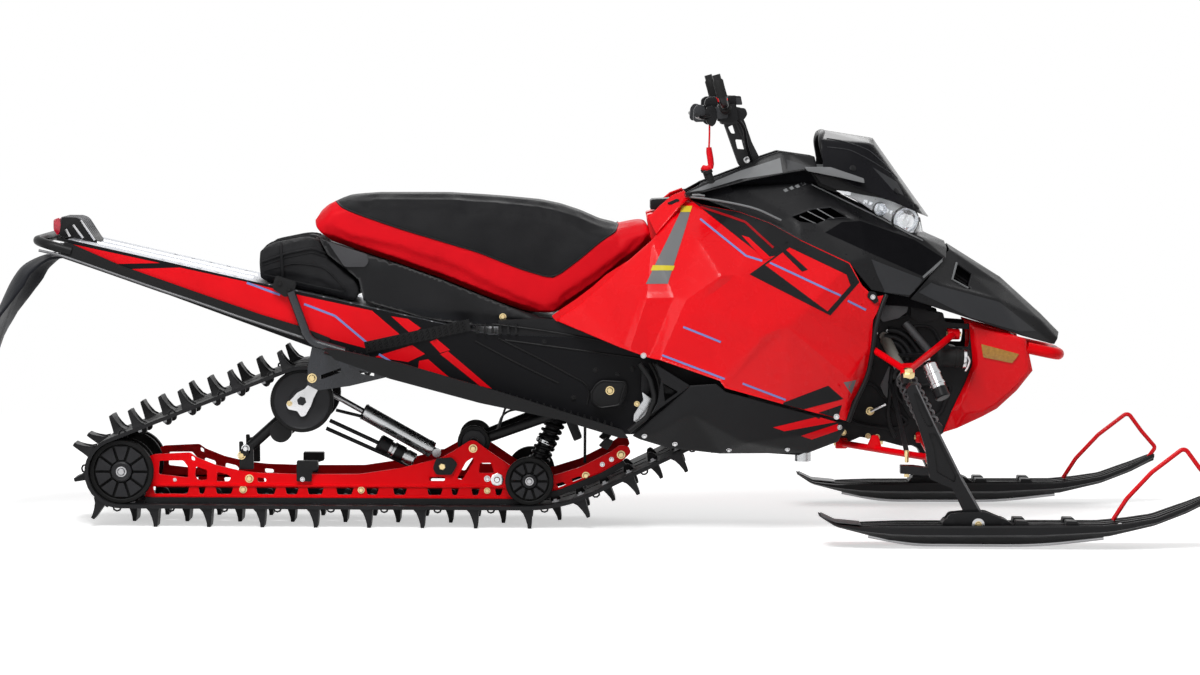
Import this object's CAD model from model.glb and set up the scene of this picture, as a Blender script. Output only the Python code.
import bpy
import bmesh
import math
from mathutils import Matrix, Vector, geometry
from mathutils.bvhtree import BVHTree


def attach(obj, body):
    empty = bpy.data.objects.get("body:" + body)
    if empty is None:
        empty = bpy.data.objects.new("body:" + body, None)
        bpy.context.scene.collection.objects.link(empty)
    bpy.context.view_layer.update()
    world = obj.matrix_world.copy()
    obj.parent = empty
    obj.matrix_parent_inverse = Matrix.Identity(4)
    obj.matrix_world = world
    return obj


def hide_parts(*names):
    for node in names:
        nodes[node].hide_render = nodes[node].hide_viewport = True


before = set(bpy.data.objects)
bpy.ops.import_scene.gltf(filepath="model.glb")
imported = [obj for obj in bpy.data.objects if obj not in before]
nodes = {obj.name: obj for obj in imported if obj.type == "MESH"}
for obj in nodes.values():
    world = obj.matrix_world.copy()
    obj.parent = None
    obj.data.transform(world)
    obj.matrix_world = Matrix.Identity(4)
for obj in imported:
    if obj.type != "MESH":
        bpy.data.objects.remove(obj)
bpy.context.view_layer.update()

# ---- Camera
# A long lens far off the machine's right side, a little above the grips, looking slightly down.
# It takes in the whole machine, from just behind the rear bumper to the ski tips.
CAMERA_AT = (0.020, -10.694, 1.2256)
CAMERA_LENS = 116.3
CAMERA_PITCH = math.radians(3.8195)
CAMERA_YAW = math.radians(0.1715)
CAMERA_ROLL = math.radians(0.317)
camera = bpy.data.objects.new("camera", bpy.data.cameras.new("camera"))
camera.data.lens = CAMERA_LENS
camera.data.clip_end = 60
camera.matrix_world = (Matrix.Translation(CAMERA_AT) @ Matrix.Rotation(-CAMERA_YAW, 4, "Z")
                       @ Matrix.Rotation(math.pi / 2 - CAMERA_PITCH, 4, "X")
                       @ Matrix.Rotation(CAMERA_ROLL, 4, "Z"))
bpy.context.scene.collection.objects.link(camera)
bpy.context.scene.camera = camera
bpy.context.scene.view_settings.view_transform = "Standard"

# ---- Kill-switch tether
# A thin red lanyard that hangs from the right-hand switch block, with a moulded clip on its end.
# The cord is a woven 5 mm lace; the clip is one soft plastic moulding with a finger tab.
TETHER_OUT = 0.200
TETHER_LINE = [(0.344, 1.111), (0.345, 1.072), (0.343, 1.038)]
TETHER_THICK = 0.005
NOISE_MIDDLE = (0.3, 0.7)     # where most of a noise's values lie


def tree(name):
    """An empty material with its shader, to be filled by a finish."""
    material = bpy.data.materials.new(name)
    material.use_nodes = True
    shader = material.node_tree.nodes["Principled BSDF"]
    return material, material.node_tree, shader


def node(net, kind, **values):
    """A new shader node with inputs set by name; an underscore stands for a space."""
    made = net.nodes.new("ShaderNode" + kind)
    for name, value in values.items():
        made.inputs[name.replace("_", " ")].default_value = value
    return made


def wire(net, *pairs):
    """Joins sockets, each pair an output and the input it feeds."""
    for out, into in pairs:
        net.links.new(out, into)


def noise(net, scale, detail=3.0, stretch=(1, 1, 1)):
    """Noise in the piece's own metres, stretched along an axis where the real finish has a grain."""
    place, mapping = node(net, "TexCoord"), node(net, "Mapping", Scale=stretch)
    cloud = node(net, "TexNoise", Scale=scale, Detail=detail)
    wire(net, (place.outputs["Object"], mapping.inputs["Vector"]),
         (mapping.outputs["Vector"], cloud.inputs["Vector"]))
    return cloud.outputs["Fac"]


def spread(net, factor, low, high):
    """Maps the middle of a noise onto a range of values."""
    scale = node(net, "MapRange", From_Min=NOISE_MIDDLE[0], From_Max=NOISE_MIDDLE[1], To_Min=low,
                 To_Max=high)
    wire(net, (factor, scale.inputs["Value"]))
    return scale.outputs["Result"]


def blend_colours(net, factor, dark, light):
    """Runs from a dark to a light colour over the middle of a noise."""
    ramp = node(net, "ValToRGB")
    for stop, position, colour in zip(ramp.color_ramp.elements, NOISE_MIDDLE, (dark, light)):
        stop.position = position
        stop.color = (*colour, 1)
    wire(net, (factor, ramp.inputs["Fac"]))
    return ramp.outputs["Color"]


def relief(net, shader, height, depth):
    """Fine relief, in metres."""
    bump = node(net, "Bump", Distance=depth, Strength=1.0)
    wire(net, (height, bump.inputs["Height"]), (bump.outputs["Normal"], shader.inputs["Normal"]))


def moulded(name, colour, rough=0.45, mottle=0.12, grain=900.0, depth=0.0002, metal=0.0, coat=0.0,
            stretch=(1, 1, 1), shine=0.16):
    """A moulded, painted or metal finish: uneven colour, uneven gloss and a fine grain."""
    material, net, shader = tree(name)
    dark = [c * (1 - mottle) for c in colour]
    light = [min(1.0, c * (1 + mottle)) for c in colour]
    smear = noise(net, 26.0, 5.0, stretch)
    wire(net, (blend_colours(net, noise(net, 7.0), dark, light), shader.inputs["Base Color"]),
         (spread(net, smear, rough * 0.86, rough * 1.16), shader.inputs["Roughness"]))
    shader.inputs["Metallic"].default_value = metal
    shader.inputs["Specular IOR Level"].default_value = 0.5 if metal else shine
    shader.inputs["Coat Weight"].default_value = coat
    shader.inputs["Coat Roughness"].default_value = 0.08
    relief(net, shader, noise(net, grain, 2.0, stretch), depth)
    return material


def at_side(points, out):
    """Side-view places (x, z) set at one distance out on the machine's right."""
    return [(x, -out, z) for x, z in points]


def sweep_round(bm, points, radius, steps=12, material=0, radii=None):
    """A round bar, hose or wire along a line of points, with its own radius at each if given."""
    points = [Vector(p) for p in points]
    rings = []
    normal = None
    for i, point in enumerate(points):
        ahead = points[min(i + 1, len(points) - 1)] - points[max(i - 1, 0)]
        ahead.normalize()
        if normal is None:
            normal = ahead.orthogonal().normalized()
        normal = (normal - ahead * normal.dot(ahead)).normalized()
        side = ahead.cross(normal)
        r = radii[i] if radii else radius
        rings.append([bm.verts.new(point + (normal * math.cos(a) + side * math.sin(a)) * r)
                      for a in (2 * math.pi * k / steps for k in range(steps))])
    for low, high in zip(rings[:-1], rings[1:]):
        for k in range(steps):
            face = bm.faces.new((low[k], low[(k + 1) % steps], high[(k + 1) % steps], high[k]))
            face.material_index = material
    bm.faces.new(list(reversed(rings[0]))).material_index = material
    bm.faces.new(rings[-1]).material_index = material


def eased(points, cut=0.45, steps=6):
    """The same line with each corner rounded."""
    points = [Vector(p) for p in points]
    line = [points[0]]
    for before, corner, after in zip(points[:-2], points[1:-1], points[2:]):
        reach = cut * min((corner - before).length, (after - corner).length)
        start = corner + (before - corner).normalized() * reach
        end = corner + (after - corner).normalized() * reach
        for k in range(steps + 1):
            t = k / steps
            line.append(start * (1 - t) ** 2 + corner * 2 * t * (1 - t) + end * t * t)
    return line + [points[-1]]


def mirrored(bm):
    """Adds the left-hand copy of everything made so far."""
    copy = bmesh.ops.duplicate(bm, geom=bm.verts[:] + bm.edges[:] + bm.faces[:])["geom"]
    for item in copy:
        if isinstance(item, bmesh.types.BMVert):
            item.co.y = -item.co.y
    bmesh.ops.reverse_faces(bm, faces=[f for f in copy if isinstance(f, bmesh.types.BMFace)])


def finished(bm, name, finishes, body="chassis", stands_for=(), sharp=38, outward=True):
    """Turns a mesh into a named piece of the machine that rides on its body."""
    if outward:
        bmesh.ops.recalc_face_normals(bm, faces=bm.faces[:])
    mesh = bpy.data.meshes.new(name)
    bm.to_mesh(mesh)
    bm.free()
    for finish in finishes:
        mesh.materials.append(finish)
    mesh.polygons.foreach_set("use_smooth", [True] * len(mesh.polygons))
    mesh.set_sharp_from_angle(angle=math.radians(sharp))
    piece = bpy.data.objects.new(name, mesh)
    bpy.context.scene.collection.objects.link(piece)
    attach(piece, body)
    if stands_for:
        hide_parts(*stands_for)
    return piece


tether_route = at_side(TETHER_LINE, TETHER_OUT)
tether_red = moulded("tether red plastic", (0.80, 0.004, 0.012), rough=0.4)
lace = bpy.data.curves.new("tether_lace", "CURVE")
lace.dimensions = "3D"
lace.bevel_depth = TETHER_THICK / 2
lace.bevel_resolution = 4
line = lace.splines.new("NURBS")
line.points.add(len(tether_route) - 1)
for point, at in zip(line.points, tether_route):
    point.co = (*at, 1)
line.order_u = 3
line.use_endpoint_u = True
lace.materials.append(tether_red)
tether = bpy.data.objects.new("tether_lace", lace)
bpy.context.scene.collection.objects.link(tether)
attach(tether, "handlebar")
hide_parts("tether_cord")

bm = bmesh.new()
TETHER_CLIP = [(0.343, 1.042), (0.344, 1.030), (0.347, 1.012), (0.349, 0.996), (0.349, 0.984)]
TETHER_TAB = [(0.350, 0.990), (0.338, 0.986), (0.327, 0.987), (0.324, 0.989)]
sweep_round(bm, at_side(TETHER_CLIP, TETHER_OUT), 0, 14, radii=[0.0070, 0.0086, 0.0088, 0.0084, 0.006])
sweep_round(bm, at_side(TETHER_TAB, TETHER_OUT), 0, 12, radii=[0.0068, 0.0068, 0.0076, 0.006])
tether_clip = finished(bm, "tether_clip", [tether_red], "handlebar", ["tether_cap"])

# ---- Studio
# A pale seamless floor and three large soft lights: one high over the near side, one low fill, one behind.
# The backdrop is plain white to the camera, to gloss and through glass; the floor keeps a soft shadow.
SKY_LEVEL = 0.20
FLOOR_GREY = 0.86
FLOOR_GLOW = 0.55
FLOOR_FADE = (1.8, 4.0)      # metres from the machine over which the floor runs into the backdrop
FLOOR_HALF = 30.0
FLOOR_DROP = 0.0005
LIGHT_AIM = (0, 0, 0.5)


def seen_directly(net):
    """One where the backdrop itself is seen, straight, in a gloss or through glass."""
    path = node(net, "LightPath")
    seen = path.outputs["Is Camera Ray"]
    for ray in ("Is Glossy Ray", "Is Transmission Ray"):
        most = node(net, "Math")
        most.operation = "MAXIMUM"
        wire(net, (seen, most.inputs[0]), (path.outputs[ray], most.inputs[1]))
        seen = most.outputs[0]
    return seen


world = bpy.data.worlds.new("studio")
bpy.context.scene.world = world
world.use_nodes = True
net = world.node_tree
backdrop = net.nodes["Background"]
backdrop.inputs["Color"].default_value = (1, 1, 1, 1)
level = node(net, "MapRange", To_Min=SKY_LEVEL)
wire(net, (seen_directly(net), level.inputs["Value"]), (level.outputs["Result"],
                                                        backdrop.inputs["Strength"]))

floor_white, net, shader = tree("floor white")
shader.inputs["Base Color"].default_value = (FLOOR_GREY, FLOOR_GREY, FLOOR_GREY, 1)
shader.inputs["Roughness"].default_value = 0.9
glow = node(net, "Emission", Strength=FLOOR_GLOW)
lit = node(net, "AddShader")
place = node(net, "TexCoord")
reach = node(net, "VectorMath")
reach.operation = "LENGTH"
far = node(net, "MapRange", From_Min=FLOOR_FADE[0], From_Max=FLOOR_FADE[1])
plain = node(net, "Emission")
seamless = node(net, "MixShader")
pick = node(net, "MixShader")
wire(net, (shader.outputs[0], lit.inputs[0]), (glow.outputs[0], lit.inputs[1]),
     (place.outputs["Object"], reach.inputs[0]), (reach.outputs["Value"], far.inputs["Value"]),
     (far.outputs["Result"], seamless.inputs[0]), (lit.outputs[0], seamless.inputs[1]),
     (plain.outputs[0], seamless.inputs[2]), (seen_directly(net), pick.inputs[0]),
     (shader.outputs[0], pick.inputs[1]), (seamless.outputs[0], pick.inputs[2]),
     (pick.outputs[0], net.nodes["Material Output"].inputs["Surface"]))

bm = bmesh.new()
bmesh.ops.create_grid(bm, x_segments=1, y_segments=1, size=FLOOR_HALF)
mesh = bpy.data.meshes.new("floor")
bm.to_mesh(mesh)
bm.free()
mesh.materials.append(floor_white)
floor = bpy.data.objects.new("floor", mesh)
floor.location.z = -FLOOR_DROP
bpy.context.scene.collection.objects.link(floor)

# Lights: name, place, size, watts
for name, at, size, watts in (("key", (-0.9, -4.0, 5.4), 2.6, 290.0), ("fill", (-3.8, -5.0, 2.6), 3.0, 50.0),
                              ("back", (0.5, 5.0, 4.5), 4.0, 110.0)):
    lamp = bpy.data.lights.new(name, "AREA")
    lamp.size = size
    lamp.energy = watts
    light = bpy.data.objects.new(name, lamp)
    light.location = at
    light.rotation_mode = "QUATERNION"
    light.rotation_quaternion = (Vector(LIGHT_AIM) - Vector(at)).to_track_quat("-Z", "Y")
    bpy.context.scene.collection.objects.link(light)

# ---- Tunnel
# The folded aluminium tunnel carries the seat, the boards and the skid. Its sides are powder-coated black
# with cut vinyl stripes, its top is bare metal, and it is pressed with stiffening ribs and riveted.
SIDE_OUT = 0.2035
STRIPE_PROUD = 0.0006
LOOKS_UP = 0.7               # a face whose normal rises more than this is on the tunnel's top


def rounded(outline, radius):
    """A closed flat outline with its corners rounded."""
    steps = 4
    points = []
    for i, corner in enumerate(outline):
        here = Vector(corner)
        before = Vector(outline[i - 1]) - here
        after = Vector(outline[(i + 1) % len(outline)]) - here
        reach = min(radius, before.length * 0.45, after.length * 0.45)
        if reach < 1e-6:
            points.append(here)
            continue
        start = here + before.normalized() * reach
        end = here + after.normalized() * reach
        for k in range(steps + 1):
            t = k / steps
            points.append(start * (1 - t) ** 2 + here * 2 * t * (1 - t) + end * t * t)
    return points


def inside(point, ring):
    """Whether a flat point lies in a closed ring."""
    found = False
    for a, b in zip(ring, ring[1:] + ring[:1]):
        crosses = (a.y > point.y) != (b.y > point.y)
        if crosses and point.x < (b.x - a.x) * (point.y - a.y) / (b.y - a.y) + a.x:
            found = not found
    return found


def flat_fill(rings):
    """Triangles inside the first ring and outside the others: flat points and corner numbers."""
    flat, edges = [], []
    for ring in rings:
        first = len(flat)
        flat += ring
        edges += [(first + i, first + (i + 1) % len(ring)) for i in range(len(ring))]
    points, _, faces, _, _, _ = geometry.delaunay_2d_cdt(flat, edges, [], 0, 1e-6)
    kept = []
    for face in faces:
        middle = sum((points[i] for i in face), Vector((0, 0))) / 3
        if inside(middle, rings[0]) and not any(inside(middle, ring) for ring in rings[1:]):
            kept.append(face)
    return points, kept


def slab(bm, outline, inner, outer, cuts=(), radius=0.0, cut_radius=0.0, material=0, edge=0.0):
    """A flat plate on the right side between two distances from the middle, with windows and eased edges."""
    points, triangles = flat_fill([rounded(outline, radius)] + [rounded(cut, cut_radius) for cut in cuts])
    skins = []
    for out in (inner, outer):
        verts = [bm.verts.new((p.x, -out, p.y)) for p in points]
        skins.append(([bm.faces.new([verts[i] for i in t]) for t in triangles], verts))
    (back, back_verts), (front, front_verts) = skins
    made = back + front
    pairs = dict(zip(back_verts, front_verts))
    rim = [e for f in back for e in f.edges if len(e.link_faces) == 1]
    front_rim = []
    for e in rim:
        a, b = e.verts
        made.append(bm.faces.new((a, b, pairs[b], pairs[a])))
        front_rim.append(bm.edges.get((pairs[a], pairs[b])))
    loose = [v for v in back_verts + front_verts if not v.link_faces]
    bmesh.ops.delete(bm, geom=loose, context="VERTS")
    for face in made:
        face.material_index = material
    bmesh.ops.recalc_face_normals(bm, faces=made)
    if edge:
        bmesh.ops.bevel(bm, geom=front_rim, offset=edge, segments=2, profile=0.6, affect="EDGES",
                        clamp_overlap=True, material=material)


def stripe(bm, outline, out, material=0):
    """A cut vinyl shape on a flat side."""
    face = bm.faces.new([bm.verts.new(p) for p in at_side(outline, out + STRIPE_PROUD)])
    face.normal_update()
    if face.normal.y > 0:
        face.normal_flip()
    face.material_index = material


def line_band(start, end, width):
    """Four corners of a straight pinstripe."""
    along = (Vector(end) - Vector(start)).normalized()
    side = Vector((-along.y, along.x)) * width / 2
    return [tuple(Vector(start) - side), tuple(Vector(end) - side), tuple(Vector(end) + side),
            tuple(Vector(start) + side)]


def turned(bm, at, direction, profile, steps=24, material=0, scale=1.0):
    """A turned shape about an axis: profile is (along, radius) pairs."""
    at = Vector(at)
    axis = Vector(direction).normalized()
    across = axis.orthogonal().normalized()
    other = axis.cross(across)
    rings = []
    for along, r in profile:
        centre = at + axis * along * scale
        if r < 1e-6:
            rings.append([bm.verts.new(centre)])
        else:
            rings.append([bm.verts.new(centre + (across * math.cos(a) + other * math.sin(a)) * r * scale)
                          for a in (2 * math.pi * k / steps for k in range(steps))])
    for low, high in zip(rings[:-1], rings[1:]):
        for k in range(steps):
            ring = [low[k % len(low)], low[(k + 1) % len(low)], high[(k + 1) % len(high)],
                    high[k % len(high)]]
            corners = list(dict.fromkeys(ring))
            if len(corners) > 2:
                bm.faces.new(corners).material_index = material


# An 8 mm screw's flange washer and hex head, as (along, radius), and a rivet
HEX = [(0.0, 0.0095), (0.0012, 0.0095), (0.0016, 0.0070), (0.0017, 0.0066), (0.0060, 0.0066),
       (0.0068, 0.0056), (0.0068, 0.0)]
RIVET = [(0.0, 0.0042), (0.0008, 0.0040), (0.0014, 0.0028), (0.0016, 0.0)]


def screw(bm, at, direction=(0, -1, 0), material=0, scale=1.0):
    """The round washer and the six-sided head."""
    turned(bm, at, direction, HEX[:3], 20, material, scale)
    turned(bm, at, direction, HEX[3:], 6, material, scale)


black_coat = moulded("black powder coat", (0.009, 0.009, 0.0095), rough=0.40, grain=1400, depth=0.00012)
bare_aluminium = moulded("bare aluminium", (0.48, 0.49, 0.51), rough=0.38, mottle=0.06, metal=1.0, grain=300,
                         depth=0.00006, stretch=(1, 14, 14))
red_vinyl = moulded("red vinyl", (0.80, 0.002, 0.008), rough=0.35, mottle=0.06, grain=500, depth=0.00004)
dark_red_vinyl = moulded("dark red vinyl", (0.36, 0.002, 0.006), rough=0.4, grain=500, depth=0.00004)
blue_vinyl = moulded("pale blue vinyl", (0.20, 0.25, 0.58), rough=0.4, mottle=0.05, grain=500, depth=0.00004)
gold_zinc = moulded("yellow zinc", (0.74, 0.58, 0.30), rough=0.3, metal=1.0, grain=800, depth=0.00005)
bright_zinc = moulded("bright zinc", (0.66, 0.66, 0.67), rough=0.28, metal=1.0, grain=800, depth=0.00005)
rubber_black = moulded("black rubber", (0.012, 0.012, 0.012), rough=0.62, mottle=0.25, grain=600,
                       depth=0.0003)


def two_finishes(name, flat, upper):
    """One sheet finished two ways: faces that look up are bare, the rest are coated."""
    material, net, shader = tree(name)
    parts = node(net, "SeparateXYZ")
    above = node(net, "Math")
    above.operation = "GREATER_THAN"
    above.inputs[1].default_value = LOOKS_UP
    choice = node(net, "Mix")
    choice.data_type = "RGBA"
    choice.inputs[6].default_value = (*flat, 1)
    brushed = blend_colours(net, noise(net, 40, 4, (1, 10, 10)), [c * 0.9 for c in upper], upper)
    wire(net, (node(net, "NewGeometry").outputs["Normal"], parts.inputs["Vector"]),
         (parts.outputs["Z"], above.inputs[0]), (above.outputs[0], choice.inputs["Factor"]),
         (brushed, choice.inputs[7]), (choice.outputs[2], shader.inputs["Base Color"]),
         (above.outputs[0], shader.inputs["Metallic"]),
         (spread(net, noise(net, 22, 4), 0.30, 0.45), shader.inputs["Roughness"]))
    shader.inputs["Specular IOR Level"].default_value = 0.10
    relief(net, shader, noise(net, 900, 2), 0.0001)
    return material


def recoat(finish, *names):
    """Gives pieces of the solid a finish of their own."""
    for name in names:
        nodes[name].data.materials.clear()
        nodes[name].data.materials.append(finish)


recoat(two_finishes("tunnel sheet", (0.005, 0.005, 0.006), (0.36, 0.37, 0.40)), "tunnel")

RED_STRIPES = [
    [(-1.379, 0.771), (-1.141, 0.721), (-1.255, 0.718)],
    [(-1.228, 0.704), (-1.087, 0.709), (-0.911, 0.672), (-0.754, 0.634), (-0.567, 0.595), (-0.486, 0.526),
     (-0.586, 0.493), (-0.708, 0.525), (-0.762, 0.544), (-0.925, 0.603)],
    [(-0.515, 0.580), (-0.469, 0.573), (-0.434, 0.548), (-0.461, 0.532)],
    [(-0.561, 0.469), (-0.537, 0.477), (-0.458, 0.502), (-0.423, 0.478), (-0.469, 0.456)],
    [(-0.410, 0.511), (-0.391, 0.519), (-0.355, 0.489), (-0.382, 0.481)],
    [(-0.439, 0.459), (-0.415, 0.464), (-0.355, 0.413), (-0.382, 0.413), (-0.442, 0.432)],
    [(-0.382, 0.478), (-0.361, 0.486), (-0.241, 0.384), (-0.274, 0.392)]]
PINSTRIPES = [((-0.906, 0.669), (-0.816, 0.636)), ((-0.751, 0.612), (-0.667, 0.580)),
              ((-0.667, 0.580), (-0.570, 0.499)), ((-0.548, 0.477), (-0.515, 0.456))]
# Pressed ribs on the side, each a line of (x, z)
SIDE_RIBS = [[(-0.288, 0.514), (-0.165, 0.449), (-0.060, 0.400)],
             [(-0.225, 0.522), (-0.111, 0.466), (0.011, 0.401), (0.025, 0.377), (0.017, 0.341)],
             [(-0.206, 0.517), (-0.040, 0.495), (0.160, 0.470)],
             [(-0.240, 0.560), (-0.111, 0.545), (0.110, 0.508)]]
RIB_R = 0.0028
bm = bmesh.new()
for outline in RED_STRIPES:
    stripe(bm, outline, SIDE_OUT)
for start, end in PINSTRIPES:
    stripe(bm, line_band(start, end, 0.006), SIDE_OUT + STRIPE_PROUD, 1)
mirrored(bm)
finished(bm, "tunnel_stripes", [red_vinyl, blue_vinyl], outward=False)

bm = bmesh.new()
for route in SIDE_RIBS:
    sweep_round(bm, eased(at_side(route, SIDE_OUT)), RIB_R, 8)
for at in at_side([(-0.10, 0.512), (0.04, 0.437), (0.10, 0.425), (-0.02, 0.36), (0.14, 0.44)], SIDE_OUT):
    screw(bm, at, scale=0.8)
# Bearing housing of the drive axle, with a rolled lip, one cast rib and one gold bolt
BEARING = [(0.028, 0.376), (0.041, 0.398), (0.057, 0.409), (0.122, 0.406), (0.125, 0.385),
           (0.109, 0.344), (0.052, 0.335), (0.031, 0.351)]
BEARING_PROUD = 0.022
slab(bm, BEARING, SIDE_OUT, SIDE_OUT + BEARING_PROUD, radius=0.010, edge=0.004)
sweep_round(bm, eased(at_side(BEARING + BEARING[:2], SIDE_OUT + BEARING_PROUD), cut=0.35), RIB_R, 8)
sweep_round(bm, at_side([(0.120, 0.398), (0.112, 0.372), (0.106, 0.346)], 0.236), 0.0022, 8)
screw(bm, (0.079, -SIDE_OUT - BEARING_PROUD, 0.383), material=1, scale=1.25)
mirrored(bm)
finished(bm, "tunnel_pressings", [black_coat, gold_zinc])

# Bare top: a row of rivets along each edge, and a pressed rib each side of the holes
bm = bmesh.new()
TOP_SLOPE = 0.2206
TOP_ORIGIN = (-0.437, 0.573)


def tunnel_top(x):
    """Height of the tunnel's sloping top."""
    return TOP_ORIGIN[1] - TOP_SLOPE * (x - TOP_ORIGIN[0])


for x in [-1.36 + 0.0735 * k for k in range(15)]:
    turned(bm, (x, -0.190, tunnel_top(x)), (TOP_SLOPE, 0, 1), RIVET, 10)
mirrored(bm)
for out in (-0.07, 0.07):
    sweep_round(bm, [(x, out, tunnel_top(x)) for x in (-1.385, -0.90)], 0.004, 8)
finished(bm, "tunnel_top_rivets", [bare_aluminium])

# ---- Running boards
# Aluminium foot boards bolted along the tunnel's foot, with open slots that let the snow through. Each is
# pressed from one sheet, with toothed grip edges punched up beside the slots.
recoat(black_coat, "running_boards")
# Raised teeth in rows along the slots and the outer edge, each row at its own distance out
TOOTH_ROW = (Vector((-0.640, 0.489)), Vector((0.095, 0.288)))
TOOTH = [(-0.004, -0.004), (0.004, -0.006), (0.002, 0.005), (-0.002, 0.006)]
TOOTH_STEP = 0.019
TOOTH_WIDE = 0.006
bm = bmesh.new()


def along_row(row, step):
    """Places at an even step along a row."""
    run = row[1] - row[0]
    return [row[0] + run.normalized() * (k + 0.5) * step for k in range(int(run.length / step))]


for out in (0.262, 0.306, 0.216):
    for at in along_row(TOOTH_ROW, TOOTH_STEP):
        slab(bm, [(at.x + x, at.y + z) for x, z in TOOTH], out, out + TOOTH_WIDE)
mirrored(bm)
finished(bm, "board_teeth", [black_coat])
# A grip strip with three rows of raised rings runs from the board's rear up to the footwell
GRIP_STRIP = (Vector((-0.585, 0.494)), Vector((-0.301, 0.558)))
GRIP_STEP = 0.0165
GRIP_ROWS = 0.009
GRIP_THICK = 0.004
GRIP_RING = [(0, 0.0052), (0.006, 0.0048), (0.006, 0.0030), (0.002, 0.0028), (0.002, 0.0)]
bm = bmesh.new()
run = GRIP_STRIP[1] - GRIP_STRIP[0]
side = Vector((-run.y, run.x)).normalized()
for at in along_row(GRIP_STRIP, GRIP_STEP):
    for row in (-1, 0, 1):
        spot = at + side * row * GRIP_ROWS
        turned(bm, (spot.x, -SIDE_OUT - GRIP_THICK, spot.y), (0, -1, 0), GRIP_RING, 10)
slab(bm, line_band(*GRIP_STRIP, 0.032), SIDE_OUT, SIDE_OUT + GRIP_THICK)
# Upright teeth beside the footwell
for k in range(6):
    x = -0.285 + 0.021 * k
    slab(bm, [(x, 0.535), (x + 0.008, 0.535), (x + 0.005, 0.562), (x + 0.001, 0.560)], SIDE_OUT,
         SIDE_OUT + 0.014)
mirrored(bm)
finished(bm, "footwell_grips", [black_coat])

# ---- Rear bumper, braces and toe loops
# Bent steel tube and flat strip, welded and coated black. The bumper and the braces are bolted to the
# tunnel, the toe loops to the boards.
tube_coat = moulded("satin tube coat", (0.016, 0.018, 0.023), rough=0.26, grain=1400, depth=0.00008,
                    shine=0.5)
recoat(black_coat, "rear_bumper", "toe_loops")
recoat(tube_coat, "tunnel_braces")
worn_grey = moulded("worn grey aluminium", (0.11, 0.11, 0.115), rough=0.45, metal=0.5, grain=500,
                    depth=0.0001)
bm = bmesh.new()
EDGE_LINE = [(-1.468, 0.750), (-1.412, 0.738), (-1.303, 0.701), (-1.141, 0.645), (-1.033, 0.610),
             (-0.925, 0.572), (-0.762, 0.520), (-0.700, 0.500)]
# Grey edge of the side rail, a gold bolt in the brace's foot and a small black clamp with two screws
sweep_round(bm, eased([(x, -0.213, z + 0.004) for x, z in EDGE_LINE]), 0.0036, 8)
screw(bm, (-0.728, -0.2222, 0.412), material=1, scale=1.35)
slab(bm, [(-0.837, 0.655), (-0.826, 0.690), (-0.770, 0.672), (-0.778, 0.640), (-0.800, 0.630)], 0.206, 0.222,
     radius=0.008, edge=0.002, material=2)
for at in at_side([(-0.815, 0.668), (-0.790, 0.652)], 0.222):
    screw(bm, at, material=2, scale=0.9)
mirrored(bm)
finished(bm, "rail_edges", [worn_grey, gold_zinc, black_coat])

# ---- Tail lamp
# A red moulded lens in a ribbed black plastic housing. It sits on a cast bracket that is screwed to the
# tunnel's rear corner.
red_lens, net, shader = tree("red lens")
wire(net, (blend_colours(net, noise(net, 90.0), (0.42, 0.003, 0.02), (0.62, 0.01, 0.04)),
           shader.inputs["Base Color"]))
shader.inputs["Roughness"].default_value = 0.12
shader.inputs["Coat Weight"].default_value = 0.8
relief(net, shader, noise(net, 260.0), 0.0004)
bm = bmesh.new()
BRACKET = [(-1.431, 0.788), (-1.327, 0.768), (-1.327, 0.774), (-1.370, 0.830), (-1.384, 0.838),
           (-1.425, 0.839)]
slab(bm, BRACKET, -0.074, 0.074, radius=0.006, edge=0.003)
for out in (0.062, 0.028, -0.006, -0.040, -0.074):
    slab(bm, [(-1.430, 0.785), (-1.322, 0.764), (-1.366, 0.833), (-1.382, 0.8405), (-1.428, 0.8405)],
         out, out + 0.006, radius=0.008, edge=0.0012, material=1)
slab(bm, [(-1.437, 0.783), (-1.327, 0.766), (-1.329, 0.760), (-1.437, 0.776)], -0.080, 0.080, edge=0.001)
# Bright ribs down each flank of the bracket
for a, b in (((-1.372, 0.831), (-1.334, 0.776)), ((-1.393, 0.818), (-1.366, 0.782)),
             ((-1.413, 0.806), (-1.402, 0.786))):
    sweep_round(bm, at_side((a, b), 0.0745), 0.0032, 6, 2)
finished(bm, "tail_lamp_housing", [black_coat, worn_grey, bright_zinc],
         stands_for=["tail_lamp"])
bm = bmesh.new()
slab(bm, [(-1.4475, 0.832), (-1.431, 0.838), (-1.426, 0.806), (-1.437, 0.788), (-1.4478, 0.806)], -0.070,
     0.070, radius=0.005, edge=0.0025)
for out in [-0.06 + 0.02 * k for k in range(7)]:
    slab(bm, [(-1.4479, 0.828), (-1.446, 0.829), (-1.446, 0.800), (-1.4479, 0.801)], out - 0.001,
         out + 0.001)
finished(bm, "tail_lamp_lens", [red_lens])

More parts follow.
